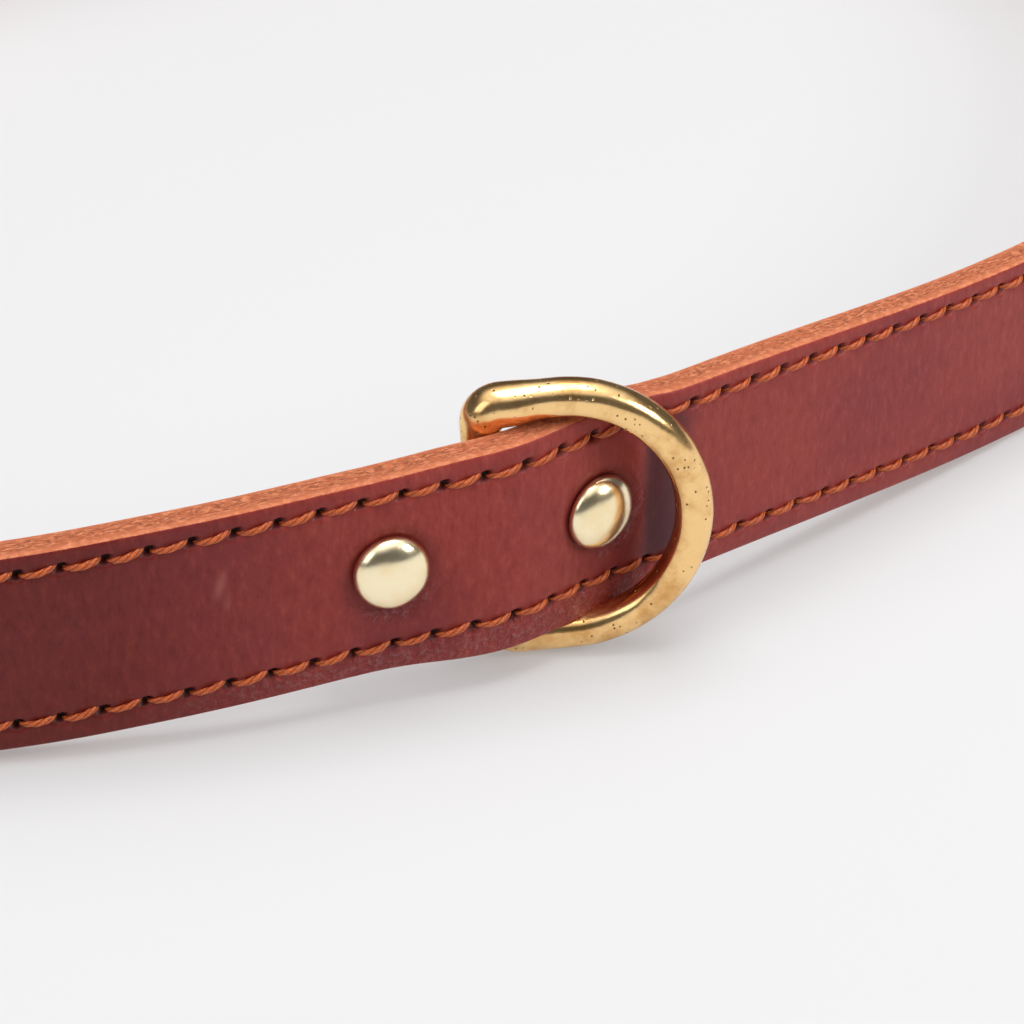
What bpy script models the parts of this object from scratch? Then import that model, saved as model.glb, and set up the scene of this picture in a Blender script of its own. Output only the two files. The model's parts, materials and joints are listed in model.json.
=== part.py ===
"""Dog collar: one leather strap buckled into a loop, with a cast D-ring held on it by a riveted leather tab.

Metres, +Z up. The collar stands on its lower edge, the D-ring faces -Y, and the buckle is at the back.
The origin is under the middle of the collar, on the surface that it stands on.
"""
import math

import bmesh
import bpy
from mathutils import Matrix, Vector

MM = 0.001
DEG = math.pi / 180

# Strap
STRAP_WIDTH = 22.0 * MM
STRAP_THICKNESS = 3.4 * MM
EDGE_CHAMFER = 0.5 * MM
LOOP_LENGTH = 680.0 * MM          # outer face, once round
GAP = 0.3 * MM                    # between pieces that touch

# The photographed front stretch of the outer face, from its left end to its right end
FRONT_LENGTH = 123.7 * MM
FRONT_HEADING = 6.8              # degrees from +X at the left end
FRONT_SECTIONS = (
    # name, share of the front stretch, turn to the left in degrees
    ("left_end", 0.113, 5.6),
    ("left_curve", 0.162, 5.9),
    ("left_flat", 0.099, 0.0),
    ("ring_bend", 0.092, 21.5),
    ("rivet_flat", 0.024, 0.0),
    ("tuck", 0.061, -7.5),
    ("crease", 0.061, 7.9),
    ("right_curve", 0.194, 1.1),
    ("right_end", 0.194, 1.6),
)
# The rest of the loop is one smooth curve; these shares of its mean curvature make it a rounded oval
OVAL_SHARE = -0.2
SKEW_SHARE = -0.3

# D-ring: the bar stands behind the strap, the legs go over and under it
RING_WIRE = 3.9 * MM
RING_SLACK = 1.95 * MM             # the ring is this much higher inside than the strap is wide
RING_LEG_PAST = 2.0 * MM         # straight part of a leg past the strap's outer face
RING_BOW = 12.7 * MM              # from the legs' ends to the arc's far side, on the wire's axis
RING_CORNER = 3.0 * MM            # bend between bar and leg, on the wire's axis
RING_BOW_STEPS = 24
WIRE_SIDES = 12
CORNER_STEPS = 4
RING_LEAN = 4.5 * DEG             # the bar's top leans to the left, along the strap
RING_SWING = 25.8 * DEG           # the ring stands off the strap by this angle

# Where the metal pieces carry the strap, its lower edge rises from the surface
RING_LIFT_SHARE = 0.69            # share of the ring's slack that lies under the strap
RING_LIFT_SHIFT = 5.0 * MM       # the highest place is this far to the right of the bar
RING_LIFT_LEFT = 90.0 * MM        # the strap is down on the surface this far to the left of it
RING_LIFT_RIGHT = 80.0 * MM
BUCKLE_LIFT_HALF = 70.0 * MM

# Rivets
RIVET_LEFT = -12.7 * MM           # along the strap, from the ring's bar
RIVET_RIGHT = 10.6 * MM
RIVET_CAP = 7.8 * MM
RIVET_BACK_CAP = 6.4 * MM
RIVET_DOME = 1.5 * MM
RIVET_RIM = 0.35 * MM
RIVET_BACK_SHARE = 0.7            # height of the back cap's dome, as a share of the outer cap's
RIVET_POST = 3.0 * MM
RIVET_SIDES = 24
DOME_STEPS = 5

# Leather tab behind the strap, which holds the bar
TAB_WIDTH = 12.0 * MM
TAB_THICKNESS = 2.0 * MM
TAB_END = 6.5 * MM                # from a rivet to the tab's end
TAB_SLACK = 0.6 * MM              # the tab stands off the bar by this much more than the gap

# Buckle: frame and prong in one piece
BUCKLE_WIRE = 3.2 * MM
BUCKLE_LENGTH = 18.0 * MM         # between the axes of its two upright bars
BUCKLE_SIDE_GAP = 0.5 * MM        # between the strap's edge and the frame
BUCKLE_TIP = 2.5 * MM             # the front bar stands out from the heel bar by this much
BUCKLE_CORNER = 2.4 * MM
BUCKLE_PLACE = 0.50               # share of the hidden stretch
PRONG_WIDTH = 2.4 * MM
PRONG_SIDES = 12
PRONG_CROSSING = 0.62             # where the prong passes through the strap, from the heel bar
RETURN_LENGTH = 26.0 * MM         # folded end on the inside
HEEL_EASE = 14.0 * MM             # the strap settles back on its line over this length
TIP_LENGTH = 62.0 * MM            # free end past the heel bar
TIP_ROUND = 13.0 * MM
TIP_BLUNT = 0.2                   # the very end is this share of the full width
TIP_STEPS = 6
HOLE_DIAMETER = 3.5 * MM
HOLE_PITCH = 20.0 * MM
HOLES_EACH_SIDE = 2
HOLE_SIDES = 16

# Spacing of the strap's sections
FRONT_STEP = 2.5 * MM
BACK_STEP = 5.0 * MM
FINE_STEP = 1.2 * MM
FOLD_STEPS = 10
SMOOTH_ANGLE = 35                 # degrees between faces that are shaded as one

# Colour, roughness and metallic value of each finish
FINISHES = {
    "chestnut_bridle_leather": ((0.165, 0.030, 0.022), 0.42, 0.0),
    "chestnut_leather_tab": ((0.150, 0.028, 0.020), 0.50, 0.0),
    "polished_brass_left": ((0.80, 0.62, 0.36), 0.18, 1.0),
    "polished_brass_right": ((0.80, 0.62, 0.36), 0.18, 1.0),
    "cast_brass": ((0.66, 0.44, 0.19), 0.30, 1.0),
    "buckle_brass": ((0.66, 0.44, 0.19), 0.30, 1.0),
}

HEEL_RADIUS = BUCKLE_WIRE / 2 + GAP + STRAP_THICKNESS / 2
LAYER = STRAP_THICKNESS + GAP
MID = STRAP_THICKNESS / 2
BUCKLE_LIFT = BUCKLE_WIRE + BUCKLE_SIDE_GAP + GAP
FRONT_EASE = 2 * HEEL_EASE        # the strap dips under the front bar over this length
BUCKLE_REACH = math.hypot(BUCKLE_LENGTH, BUCKLE_TIP)
RING_HALF = (STRAP_WIDTH + RING_SLACK + RING_WIRE) / 2
RING_LEG = RING_WIRE / 2 + GAP + STRAP_THICKNESS + RING_LEG_PAST
RING_LIFT = RING_WIRE + RING_LIFT_SHARE * RING_SLACK


class Course:
    """The closed line that the strap's outer face follows, seen from above."""

    STEP = 0.25 * MM
    NUDGE = 1e-4                  # change of a share that the closing rounds try
    CLOSE_ROUNDS = 12
    CLOSE_MISS = 1e-7

    def __init__(self):
        self.hidden_length = LOOP_LENGTH - FRONT_LENGTH
        self.front_turn = sum(turn for _, _, turn in FRONT_SECTIONS)
        self.along = self.across = 0.0
        self.close()
        self.points = self.walk()
        self.bar_station = self.station_of("ring_bend")
        self.buckle_station = FRONT_LENGTH + BUCKLE_PLACE * self.hidden_length

    def station_of(self, wanted):
        """Distance from the left end to the middle of a named section."""
        at = 0.0
        for name, share, _ in FRONT_SECTIONS:
            if name == wanted:
                return (at + share / 2) * FRONT_LENGTH
            at += share
        raise ValueError(wanted)

    def heading(self, s):
        """Direction of the line at distance s, in radians from +X."""
        s = s % LOOP_LENGTH
        if s <= FRONT_LENGTH:
            angle, at = FRONT_HEADING, 0.0
            for _, share, turn in FRONT_SECTIONS:
                done = min(max((s / FRONT_LENGTH - at) / share, 0.0), 1.0)
                angle += turn * done * done * (3 - 2 * done)
                at += share
            return angle * DEG
        share = (s - FRONT_LENGTH) / self.hidden_length
        once, twice = 2 * math.pi * share, 4 * math.pi * share
        bend = (share
                + (self.along * math.sin(once) + self.across * (1 - math.cos(once))) / (2 * math.pi)
                + (OVAL_SHARE * math.sin(twice) + SKEW_SHARE * (1 - math.cos(twice))) / (4 * math.pi))
        return (FRONT_HEADING + self.front_turn + (360 - self.front_turn) * bend) * DEG

    def walk(self):
        """Points along the line, at even steps."""
        count = round(LOOP_LENGTH / self.STEP)
        step = LOOP_LENGTH / count
        points = [Vector((0.0, 0.0))]
        for i in range(count):
            angle = self.heading((i + 0.5) * step)
            points.append(points[-1] + step * Vector((math.cos(angle), math.sin(angle))))
        return points

    def close(self):
        """Finds the two shares of curvature that bring the line back to its start."""
        for _ in range(self.CLOSE_ROUNDS):
            miss = self.walk()[-1]
            self.along += self.NUDGE
            column_a = (self.walk()[-1] - miss) / self.NUDGE
            self.along -= self.NUDGE
            self.across += self.NUDGE
            column_b = (self.walk()[-1] - miss) / self.NUDGE
            self.across -= self.NUDGE
            det = column_a.x * column_b.y - column_b.x * column_a.y
            self.along -= (miss.x * column_b.y - column_b.x * miss.y) / det
            self.across -= (column_a.x * miss.y - miss.x * column_a.y) / det
            if miss.length < self.CLOSE_MISS:
                break

    def at(self, s, depth=0.0):
        """Plan point at distance s, depth inward from the outer face."""
        place = (s % LOOP_LENGTH) / LOOP_LENGTH * (len(self.points) - 1)
        low = min(int(place), len(self.points) - 2)
        point = self.points[low].lerp(self.points[low + 1], place - low)
        angle = self.heading(s)
        return point + depth * Vector((-math.sin(angle), math.cos(angle)))

    def lift(self, s):
        """Height of the strap's lower edge above the surface."""
        ring = self.away(s, self.bar_station + RING_LIFT_SHIFT)
        buckle = self.away(s, self.buckle_station - BUCKLE_LENGTH / 2)
        ring_half = RING_LIFT_LEFT if ring < 0 else RING_LIFT_RIGHT
        return (RING_LIFT * ease(1 - abs(ring) / ring_half)
                + BUCKLE_LIFT * ease(1 - abs(buckle) / BUCKLE_LIFT_HALF))

    @staticmethod
    def away(s, place):
        """Distance from a place the shorter way round, below zero on its left."""
        return (s - place + LOOP_LENGTH / 2) % LOOP_LENGTH - LOOP_LENGTH / 2


def ease(share):
    """Smooth step from 0 to 1."""
    share = min(max(share, 0.0), 1.0)
    return 0.5 * (1 - math.cos(math.pi * share))


def steps(start, end, spacing):
    """Even values from start up to, but without, end."""
    count = max(1, round(abs(end - start) / spacing))
    return [start + (end - start) * i / count for i in range(count)]


def strap_line(course):
    """Middle line of the whole strap: (distance, depth, plan point) from the folded end to the tip."""
    heel = course.buckle_station
    front_bar = heel - BUCKLE_LENGTH
    line = []

    def add(s, depth):
        line.append((s, depth, course.at(s, depth)))

    # Folded end on the inside, then the fold round the heel bar
    for s in steps(heel + RETURN_LENGTH, heel, 2 * FINE_STEP):
        add(s, MID + max(HEEL_RADIUS, LAYER))
    for i in range(FOLD_STEPS + 1):
        angle = math.pi * i / FOLD_STEPS
        add(heel - HEEL_RADIUS * math.sin(angle), MID + HEEL_RADIUS * math.cos(angle))
    # Once round the neck
    for s in steps(heel + FINE_STEP, heel + HEEL_EASE, FINE_STEP):
        add(s, MID - HEEL_RADIUS * (1 - ease((s - heel) / HEEL_EASE)))
    for s in steps(heel + HEEL_EASE, LOOP_LENGTH, BACK_STEP):
        add(s, MID)
    for s in steps(LOOP_LENGTH, LOOP_LENGTH + FRONT_LENGTH, FRONT_STEP):
        add(s, MID)
    under = MID - BUCKLE_TIP + HEEL_RADIUS
    for s in steps(LOOP_LENGTH + FRONT_LENGTH, LOOP_LENGTH + front_bar - FRONT_EASE, BACK_STEP):
        add(s, MID)
    for s in steps(front_bar - FRONT_EASE, front_bar, 2 * FINE_STEP):
        add(s, MID + (under - MID) * ease((s - front_bar) / FRONT_EASE + 1))
    # Up through the frame and over the heel bar
    over = MID - HEEL_RADIUS - LAYER
    for s in steps(front_bar, heel, FINE_STEP):
        share = (s - front_bar - BUCKLE_WIRE / 4) / (BUCKLE_LENGTH - BUCKLE_WIRE)
        add(s, under + (over - under) * ease(share))
    for s in steps(heel, heel + HEEL_EASE, FINE_STEP):
        add(s, over + HEEL_RADIUS * ease((s - heel) / HEEL_EASE))
    end = heel + TIP_LENGTH
    for s in steps(heel + HEEL_EASE, end - TIP_ROUND, 2 * FINE_STEP):
        add(s, MID - LAYER)
    for i in range(TIP_STEPS + 1):
        add(end - TIP_ROUND * (1 - math.sin(math.pi / 2 * i / TIP_STEPS)), MID - LAYER)
    return line


def tip_width(course, index, line):
    """Width of the strap at a section: full, and rounded off along the tip."""
    s = line[index][0]
    start = course.buckle_station + TIP_LENGTH - TIP_ROUND
    if index < len(line) - TIP_STEPS:
        return STRAP_WIDTH
    share = min((s - start) / TIP_ROUND, 1.0)
    return STRAP_WIDTH * max(math.sqrt(1 - share * share), TIP_BLUNT)


def section(width, thickness, chamfer):
    """Corners of a strap's section as (inward, up), with chamfered edges, from its middle."""
    half, high = thickness / 2, width / 2
    side, top = half - chamfer, high - chamfer
    return [(-side, -high), (side, -high), (half, -top), (half, top),
            (side, high), (-side, high), (-half, top), (-half, -top)]


def skin(name, rings, closed=False):
    """One closed body from rings of corners, joined in turn; open rows get flat ends."""
    mesh = bmesh.new()
    rows = [[mesh.verts.new(corner) for corner in ring] for ring in rings]
    pairs = list(zip(rows, rows[1:] + rows[:1])) if closed else list(zip(rows, rows[1:]))
    for low, high in pairs:
        for i, _ in enumerate(low):
            j = (i + 1) % len(low)
            mesh.faces.new((low[i], low[j], high[j], high[i]))
    if not closed:
        mesh.faces.new(rows[0])
        mesh.faces.new(rows[-1])
    bmesh.ops.recalc_face_normals(mesh, faces=mesh.faces)
    data = bpy.data.meshes.new(name)
    mesh.to_mesh(data)
    mesh.free()
    return link(name, data)


def link(name, data):
    """Puts a mesh into the scene as an object of that name."""
    thing = bpy.data.objects.new(name, data)
    bpy.context.collection.objects.link(thing)
    return thing


def band(name, line, width_at, thickness, middle_height):
    """A leather band on edge along a plan line of (distance, depth, point)."""
    rings = []
    for i, (s, _, point) in enumerate(line):
        before, after = line[max(i - 1, 0)][2], line[min(i + 1, len(line) - 1)][2]
        ahead = (after - before).normalized()
        inward = Vector((-ahead.y, ahead.x))
        height = middle_height(s)
        ring = []
        for side, up in section(width_at(i), thickness, EDGE_CHAMFER):
            place = point + side * inward
            ring.append((place.x, place.y, height + up))
        rings.append(ring)
    return skin(name, rings)


def frame_at(course, s, depth, height):
    """Axes at a place on the strap: X along it, Y inward, Z up."""
    angle = course.heading(s)
    point = course.at(s, depth)
    turn = Matrix.Rotation(angle, 4, "Z")
    return Matrix.Translation((point.x, point.y, height)) @ turn


def turned(name, profile, sides):
    """A body of revolution about Z from (radius, height) pairs that start and end on the axis."""
    mesh = bmesh.new()
    rows = []
    for radius, height in profile:
        if radius == 0:
            rows.append([mesh.verts.new((0, 0, height))])
            continue
        angles = [2 * math.pi * i / sides for i in range(sides)]
        rows.append([mesh.verts.new((radius * math.cos(a), radius * math.sin(a), height)) for a in angles])
    for low, high in zip(rows, rows[1:]):
        for i in range(sides):
            j = (i + 1) % sides
            corners = [low[i % len(low)], low[j % len(low)], high[j % len(high)], high[i % len(high)]]
            mesh.faces.new(list(dict.fromkeys(corners)))
    bmesh.ops.recalc_face_normals(mesh, faces=mesh.faces)
    data = bpy.data.meshes.new(name)
    mesh.to_mesh(data)
    mesh.free()
    return link(name, data)


def wire_loop(name, centres, radius, sides):
    """A round wire along a closed line of points that lie in the XZ plane."""
    rings = []
    count = len(centres)
    for i, centre in enumerate(centres):
        ahead = (centres[(i + 1) % count] - centres[i - 1]).normalized()
        out = ahead.cross(Vector((0, 1, 0)))
        rings.append([centre + radius * (math.cos(a) * out + math.sin(a) * Vector((0, 1, 0)))
                      for a in (2 * math.pi * (k + 0.5) / sides for k in range(sides))])
    return skin(name, rings, closed=True)


def arc(centre, radius, start, end):
    """Points on a corner's arc in the XZ plane, angles in degrees from +X towards +Z."""
    return [centre + radius * Vector((math.cos(a), 0, math.sin(a)))
            for a in (DEG * (start + (end - start) * i / CORNER_STEPS) for i in range(CORNER_STEPS + 1))]


def ring_centres():
    """Axis of the ring's wire: bar on Z at X = 0, legs and arc towards +X."""
    low = Vector((RING_CORNER, 0, -RING_HALF + RING_CORNER))
    high = Vector((RING_CORNER, 0, RING_HALF - RING_CORNER))
    bow = [Vector((RING_LEG + RING_BOW * math.cos(a), 0, RING_HALF * math.sin(a)))
           for a in (math.pi * (i / RING_BOW_STEPS - 0.5) for i in range(RING_BOW_STEPS + 1))]
    return arc(low, RING_CORNER, 180, 270) + bow + arc(high, RING_CORNER, 90, 180)


def buckle_centres():
    """Axis of the buckle frame's wire in its own plane, heel bar at X = 0, front bar towards -X."""
    half = STRAP_WIDTH / 2 + BUCKLE_SIDE_GAP + BUCKLE_WIRE / 2
    c = BUCKLE_CORNER
    heel, front, low, high = -c, c - BUCKLE_REACH, c - half, half - c
    return (arc(Vector((heel, 0, low)), c, 0, -90) + arc(Vector((front, 0, low)), c, 270, 180)
            + arc(Vector((front, 0, high)), c, 180, 90) + arc(Vector((heel, 0, high)), c, 90, 0))


def smooth(thing):
    """Smooth shading on round stretches, with real edges kept sharp."""
    thing.data.shade_smooth()
    thing.data.set_sharp_from_angle(angle=SMOOTH_ANGLE * DEG)


def paint(thing, name):
    """Gives a piece its own material."""
    colour, roughness, metallic = FINISHES[name]
    material = bpy.data.materials.new(name)
    material.use_nodes = True
    shader = material.node_tree.nodes["Principled BSDF"]
    shader.inputs["Base Color"].default_value = (*colour, 1)
    shader.inputs["Roughness"].default_value = roughness
    shader.inputs["Metallic"].default_value = metallic
    thing.data.materials.clear()
    thing.data.materials.append(material)


def cut(thing, cutter):
    """Takes a guide body away from a piece and leaves the guide hidden."""
    cutter.hide_render = True
    cutter.display_type = "WIRE"
    step = thing.modifiers.new("cut_" + cutter.name, "BOOLEAN")
    step.operation = "DIFFERENCE"
    step.solver = "EXACT"
    step.object = cutter


def rod(name, radius, length, place):
    """A guide cylinder along the local Y axis of a placed frame."""
    profile = [(0, -length / 2), (radius, -length / 2), (radius, length / 2), (0, length / 2)]
    thing = turned(name, profile, HOLE_SIDES)
    thing.matrix_world = place @ Matrix.Rotation(math.pi / 2, 4, "X")
    return thing


def build_strap(course):
    """The strap, with its rivet holes, adjusting holes and the slot for the prong."""
    line = strap_line(course)
    strap = band("strap", line, lambda i: tip_width(course, i, line), STRAP_THICKNESS,
                 lambda s: course.lift(s) + STRAP_WIDTH / 2)
    smooth(strap)
    for name, offset in (("left", RIVET_LEFT), ("right", RIVET_RIGHT)):
        cut(strap, rod("rivet_hole_" + name, RIVET_POST / 2 + GAP, 2 * STRAP_THICKNESS,
                       rivet_place(course, offset)))
    cut(strap, prong("prong_slot", course, PRONG_WIDTH + 2 * GAP, GAP))
    crossing = course.buckle_station - PRONG_CROSSING * BUCKLE_LENGTH
    for i in range(-HOLES_EACH_SIDE, HOLES_EACH_SIDE + 1):
        if i == 0:
            continue
        s = crossing + i * HOLE_PITCH
        depth = MID if i < 0 else hole_depth(course, line, s)
        place = frame_at(course, s, depth, course.lift(s) + STRAP_WIDTH / 2)
        cut(strap, rod(f"hole_{i + HOLES_EACH_SIDE}", HOLE_DIAMETER / 2, STRAP_THICKNESS + GAP, place))
    paint(strap, "chestnut_bridle_leather")
    return strap


def hole_depth(course, line, s):
    """Depth of the free end's middle at a distance past the heel bar."""
    free = [entry for entry in line[len(line) // 2:] if entry[0] >= course.buckle_station - BUCKLE_LENGTH]
    return min(free, key=lambda entry: abs(entry[0] - s))[1]


def rivet_place(course, offset):
    """Frame on the strap's middle at a rivet."""
    s = course.bar_station + offset
    return frame_at(course, s, MID, course.lift(s) + STRAP_WIDTH / 2)


def build_rivet(course, side, offset):
    """A double-cap rivet: domed cap outside, post through strap and tab, low cap inside."""
    cap, back_cap, post = RIVET_CAP / 2, RIVET_BACK_CAP / 2, RIVET_POST / 2
    outer = MID + GAP
    inner = -(MID + GAP + TAB_THICKNESS + GAP)
    outer_rim, inner_rim = outer + RIVET_RIM, inner - RIVET_RIM
    rise = RIVET_DOME - RIVET_RIM
    angles = [math.pi / 2 * i / DOME_STEPS for i in range(DOME_STEPS)]
    dome = [(cap * math.cos(a), outer_rim + rise * math.sin(a)) for a in angles]
    back_rise = RIVET_BACK_SHARE * rise
    back = [(back_cap * math.cos(a), inner_rim - back_rise * math.sin(a)) for a in reversed(angles)]
    profile = ([(0, inner_rim - back_rise)] + back
               + [(back_cap, inner), (post, inner), (post, outer), (cap, outer)]
               + dome + [(0, outer_rim + rise)])
    rivet = turned("rivet_" + side, profile, RIVET_SIDES)
    rivet.matrix_world = rivet_place(course, offset) @ Matrix.Rotation(math.pi / 2, 4, "X")
    smooth(rivet)
    paint(rivet, "polished_brass_" + side)
    return rivet


def build_tab(course):
    """The leather tab behind the strap, which passes round the bar between the rivets."""
    bar = course.bar_station
    angle = course.heading(bar)
    along, inward = Vector((math.cos(angle), math.sin(angle))), Vector((-math.sin(angle), math.cos(angle)))
    flat = STRAP_THICKNESS + GAP + TAB_THICKNESS / 2

    def reach(offset):
        """Plan distance along the bar's tangent."""
        return abs((course.at(bar + offset, flat) - course.at(bar, flat)).dot(along))

    half = min(reach(RIVET_LEFT), reach(RIVET_RIGHT)) - RIVET_BACK_CAP / 2 - GAP
    height = RING_WIRE + 2 * GAP + TAB_SLACK
    line = []
    for offset in steps(RIVET_LEFT - TAB_END, RIVET_RIGHT + TAB_END, FINE_STEP) + [RIVET_RIGHT + TAB_END]:
        bulge = height * (1 - ease(reach(offset) / half))
        line.append((bar + offset, flat + bulge, course.at(bar + offset, flat) + bulge * inward))
    tab = band("ring_tab", line, lambda i: TAB_WIDTH, TAB_THICKNESS,
               lambda s: course.lift(s) + STRAP_WIDTH / 2)
    smooth(tab)
    for name, offset in (("left", RIVET_LEFT), ("right", RIVET_RIGHT)):
        place = rivet_place(course, offset)
        cut(tab, rod("tab_hole_" + name, RIVET_POST / 2 + GAP, 4 * (flat + height), place))
    paint(tab, "chestnut_leather_tab")
    return tab


def build_ring(course):
    """The cast D-ring, its origin on the bar's axis."""
    ring = wire_loop("d_ring", ring_centres(), RING_WIRE / 2, WIRE_SIDES)
    place = frame_at(course, course.bar_station, STRAP_THICKNESS + GAP + RING_WIRE / 2,
                     RING_HALF + RING_WIRE / 2)
    ring.matrix_world = (place @ Matrix.Rotation(-RING_LEAN, 4, "Y") @ Matrix.Rotation(-RING_SWING, 4, "Z"))
    smooth(ring)
    paint(ring, "cast_brass")
    return ring


def buckle_place(course):
    """Frame on the heel bar: X back along the strap to the front bar, Z up."""
    heel = course.buckle_station
    place = frame_at(course, heel, MID, BUCKLE_LIFT + STRAP_WIDTH / 2)
    front = course.at(heel - BUCKLE_LENGTH, MID - BUCKLE_TIP)
    away = place.inverted() @ Vector((front.x, front.y, place.translation.z))
    return place @ Matrix.Rotation(math.atan2(-away.y, -away.x), 4, "Z")


def prong(name, course, width, extra):
    """Straight prong from the heel bar to the front bar, or its slot with extra height."""
    profile = [(0, 0), (width / 2, 0), (width / 2, BUCKLE_REACH), (0, BUCKLE_REACH)]
    thing = turned(name, profile, PRONG_SIDES)
    thing.matrix_world = buckle_place(course) @ Matrix.Rotation(-math.pi / 2, 4, "Y")
    thing.data.transform(Matrix.Scale(1 + extra / width, 4, (1, 0, 0)))
    return thing


def build_buckle(course):
    """The plain buckle at the back, frame and prong fused."""
    buckle = wire_loop("buckle", buckle_centres(), BUCKLE_WIRE / 2, WIRE_SIDES)
    buckle.matrix_world = buckle_place(course)
    tongue = prong("prong", course, PRONG_WIDTH, 0)
    tongue.hide_render = True
    tongue.display_type = "WIRE"
    join = buckle.modifiers.new("prong", "BOOLEAN")
    join.operation = "UNION"
    join.solver = "EXACT"
    join.object = tongue
    smooth(buckle)
    paint(buckle, "buckle_brass")
    return buckle


def centre_on_floor(pieces):
    """Moves everything so that the origin is under the middle of the pieces."""
    bpy.context.view_layer.update()
    graph = bpy.context.evaluated_depsgraph_get()
    corners = []
    for piece in pieces:
        shape = piece.evaluated_get(graph)
        corners += [shape.matrix_world @ vertex.co for vertex in shape.data.vertices]
    low = [min(c[i] for c in corners) for i in range(3)]
    high = [max(c[i] for c in corners) for i in range(3)]
    shift = Matrix.Translation((-(low[0] + high[0]) / 2, -(low[1] + high[1]) / 2, -low[2]))
    for thing in bpy.context.scene.objects:
        thing.matrix_world = shift @ thing.matrix_world
    bpy.context.view_layer.update()


def build():
    """Builds the whole collar."""
    for thing in list(bpy.data.objects):
        bpy.data.objects.remove(thing)
    course = Course()
    pieces = [
        build_strap(course),
        build_tab(course),
        build_rivet(course, "left", RIVET_LEFT),
        build_rivet(course, "right", RIVET_RIGHT),
        build_ring(course),
        build_buckle(course),
    ]
    centre_on_floor(pieces)


build()
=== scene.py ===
"""Looks of a stitched leather dog collar with a cast brass D-ring, on a pale studio floor.

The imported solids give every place. The strap, its tab, the ring, the rivets and the buckle are modelled
again here in fine meshes that stand for their solids, and the stitches are added.
Metres, +Z up, in the frame of the solids.
"""
import json
import logging
import math
from collections.abc import Callable
from dataclasses import dataclass, field
from enum import Enum

import bpy
import numpy as np
from mathutils import Matrix, Vector

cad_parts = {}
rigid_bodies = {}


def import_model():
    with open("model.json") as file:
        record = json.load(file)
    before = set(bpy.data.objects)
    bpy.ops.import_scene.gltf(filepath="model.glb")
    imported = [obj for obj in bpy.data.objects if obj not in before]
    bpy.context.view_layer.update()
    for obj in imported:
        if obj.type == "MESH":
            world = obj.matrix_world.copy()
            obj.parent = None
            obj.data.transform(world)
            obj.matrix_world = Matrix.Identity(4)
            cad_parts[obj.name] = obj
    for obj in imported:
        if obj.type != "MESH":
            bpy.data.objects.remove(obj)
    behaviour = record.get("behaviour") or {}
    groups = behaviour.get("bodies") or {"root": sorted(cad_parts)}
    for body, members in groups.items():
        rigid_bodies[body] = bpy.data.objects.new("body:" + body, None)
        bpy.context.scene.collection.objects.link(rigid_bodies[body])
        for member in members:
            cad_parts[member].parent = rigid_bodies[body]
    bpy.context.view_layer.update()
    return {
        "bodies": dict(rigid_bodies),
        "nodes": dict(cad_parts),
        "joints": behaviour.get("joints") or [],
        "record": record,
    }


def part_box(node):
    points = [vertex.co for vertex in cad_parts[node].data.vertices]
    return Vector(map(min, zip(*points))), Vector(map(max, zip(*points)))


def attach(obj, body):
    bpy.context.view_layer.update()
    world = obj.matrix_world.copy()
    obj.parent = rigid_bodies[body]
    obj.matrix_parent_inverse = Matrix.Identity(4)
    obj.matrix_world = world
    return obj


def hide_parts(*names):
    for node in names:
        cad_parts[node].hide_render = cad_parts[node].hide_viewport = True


log = logging.getLogger("collar")

MM = 0.001
TINY = 1e-9


# Small helpers

def linear(hex_colour: str) -> tuple[float, float, float, float]:
    """Turns an sRGB hex colour into the linear values that shaders take.

    Args:
        hex_colour: Six hex digits with a leading hash.
    Returns:
        Red, green, blue and alpha, linear.
    """
    channels = [int(hex_colour[i:i + 2], 16) / 255 for i in (1, 3, 5)]
    bent = [c / 12.92 if c <= 0.04045 else ((c + 0.055) / 1.055) ** 2.4 for c in channels]
    return (*bent, 1.0)


def ease(share: np.ndarray) -> np.ndarray:
    """Smooth step from 0 to 1 over shares 0 to 1."""
    return 0.5 * (1 - np.cos(np.pi * np.clip(share, 0, 1)))


def bell(distance: np.ndarray, half: float, power: float = 2.0) -> np.ndarray:
    """A bump of height 1 at distance 0 that falls off around the given half width."""
    return np.exp(-np.abs(distance / half) ** power)


def spread(start: float, end: float, spacing: Callable[[np.ndarray], np.ndarray]) -> np.ndarray:
    """Places between two ends whose spacing follows a rule.

    Args:
        start: First place.
        end: Last place.
        spacing: Function from an array of places to the wanted distance between neighbours there.
    Returns:
        The places in order, both ends included.
    """
    fine = np.linspace(start, end, 4000)
    pace = 1 / spacing(fine)
    count = np.concatenate([[0], np.cumsum((pace[1:] + pace[:-1]) / 2 * np.diff(fine))])
    return np.interp(np.linspace(0, count[-1], max(2, round(count[-1]) + 1)), count, fine)


def rounded(across: np.ndarray, through: np.ndarray, half: tuple[float, float],
            corner: float) -> tuple[np.ndarray, np.ndarray]:
    """Rounds the corners of a flat section.

    Args:
        across: Places across the section, from its middle.
        through: Places through the section, from its middle.
        half: Half its width and half its thickness.
        corner: Radius of its corners.
    Returns:
        Places across and through, those at a corner drawn in to its arc.
    """
    over = [np.clip(np.abs(place) - (reach - corner), 0, None)
            for place, reach in zip((across, through), half)]
    length = np.maximum(np.hypot(*over), TINY)
    pull = np.where(length > corner, corner / length, 1.0) - 1
    return across + np.sign(across) * over[0] * pull, through + np.sign(through) * over[1] * pull


def places_of(piece: bpy.types.Object) -> np.ndarray:
    """Reads a mesh's vertices.

    Args:
        piece: The mesh object.
    Returns:
        Rows of x, y and z.
    """
    flat = np.empty(len(piece.data.vertices) * 3)
    piece.data.vertices.foreach_get("co", flat)
    return flat.reshape(-1, 3)


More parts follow.
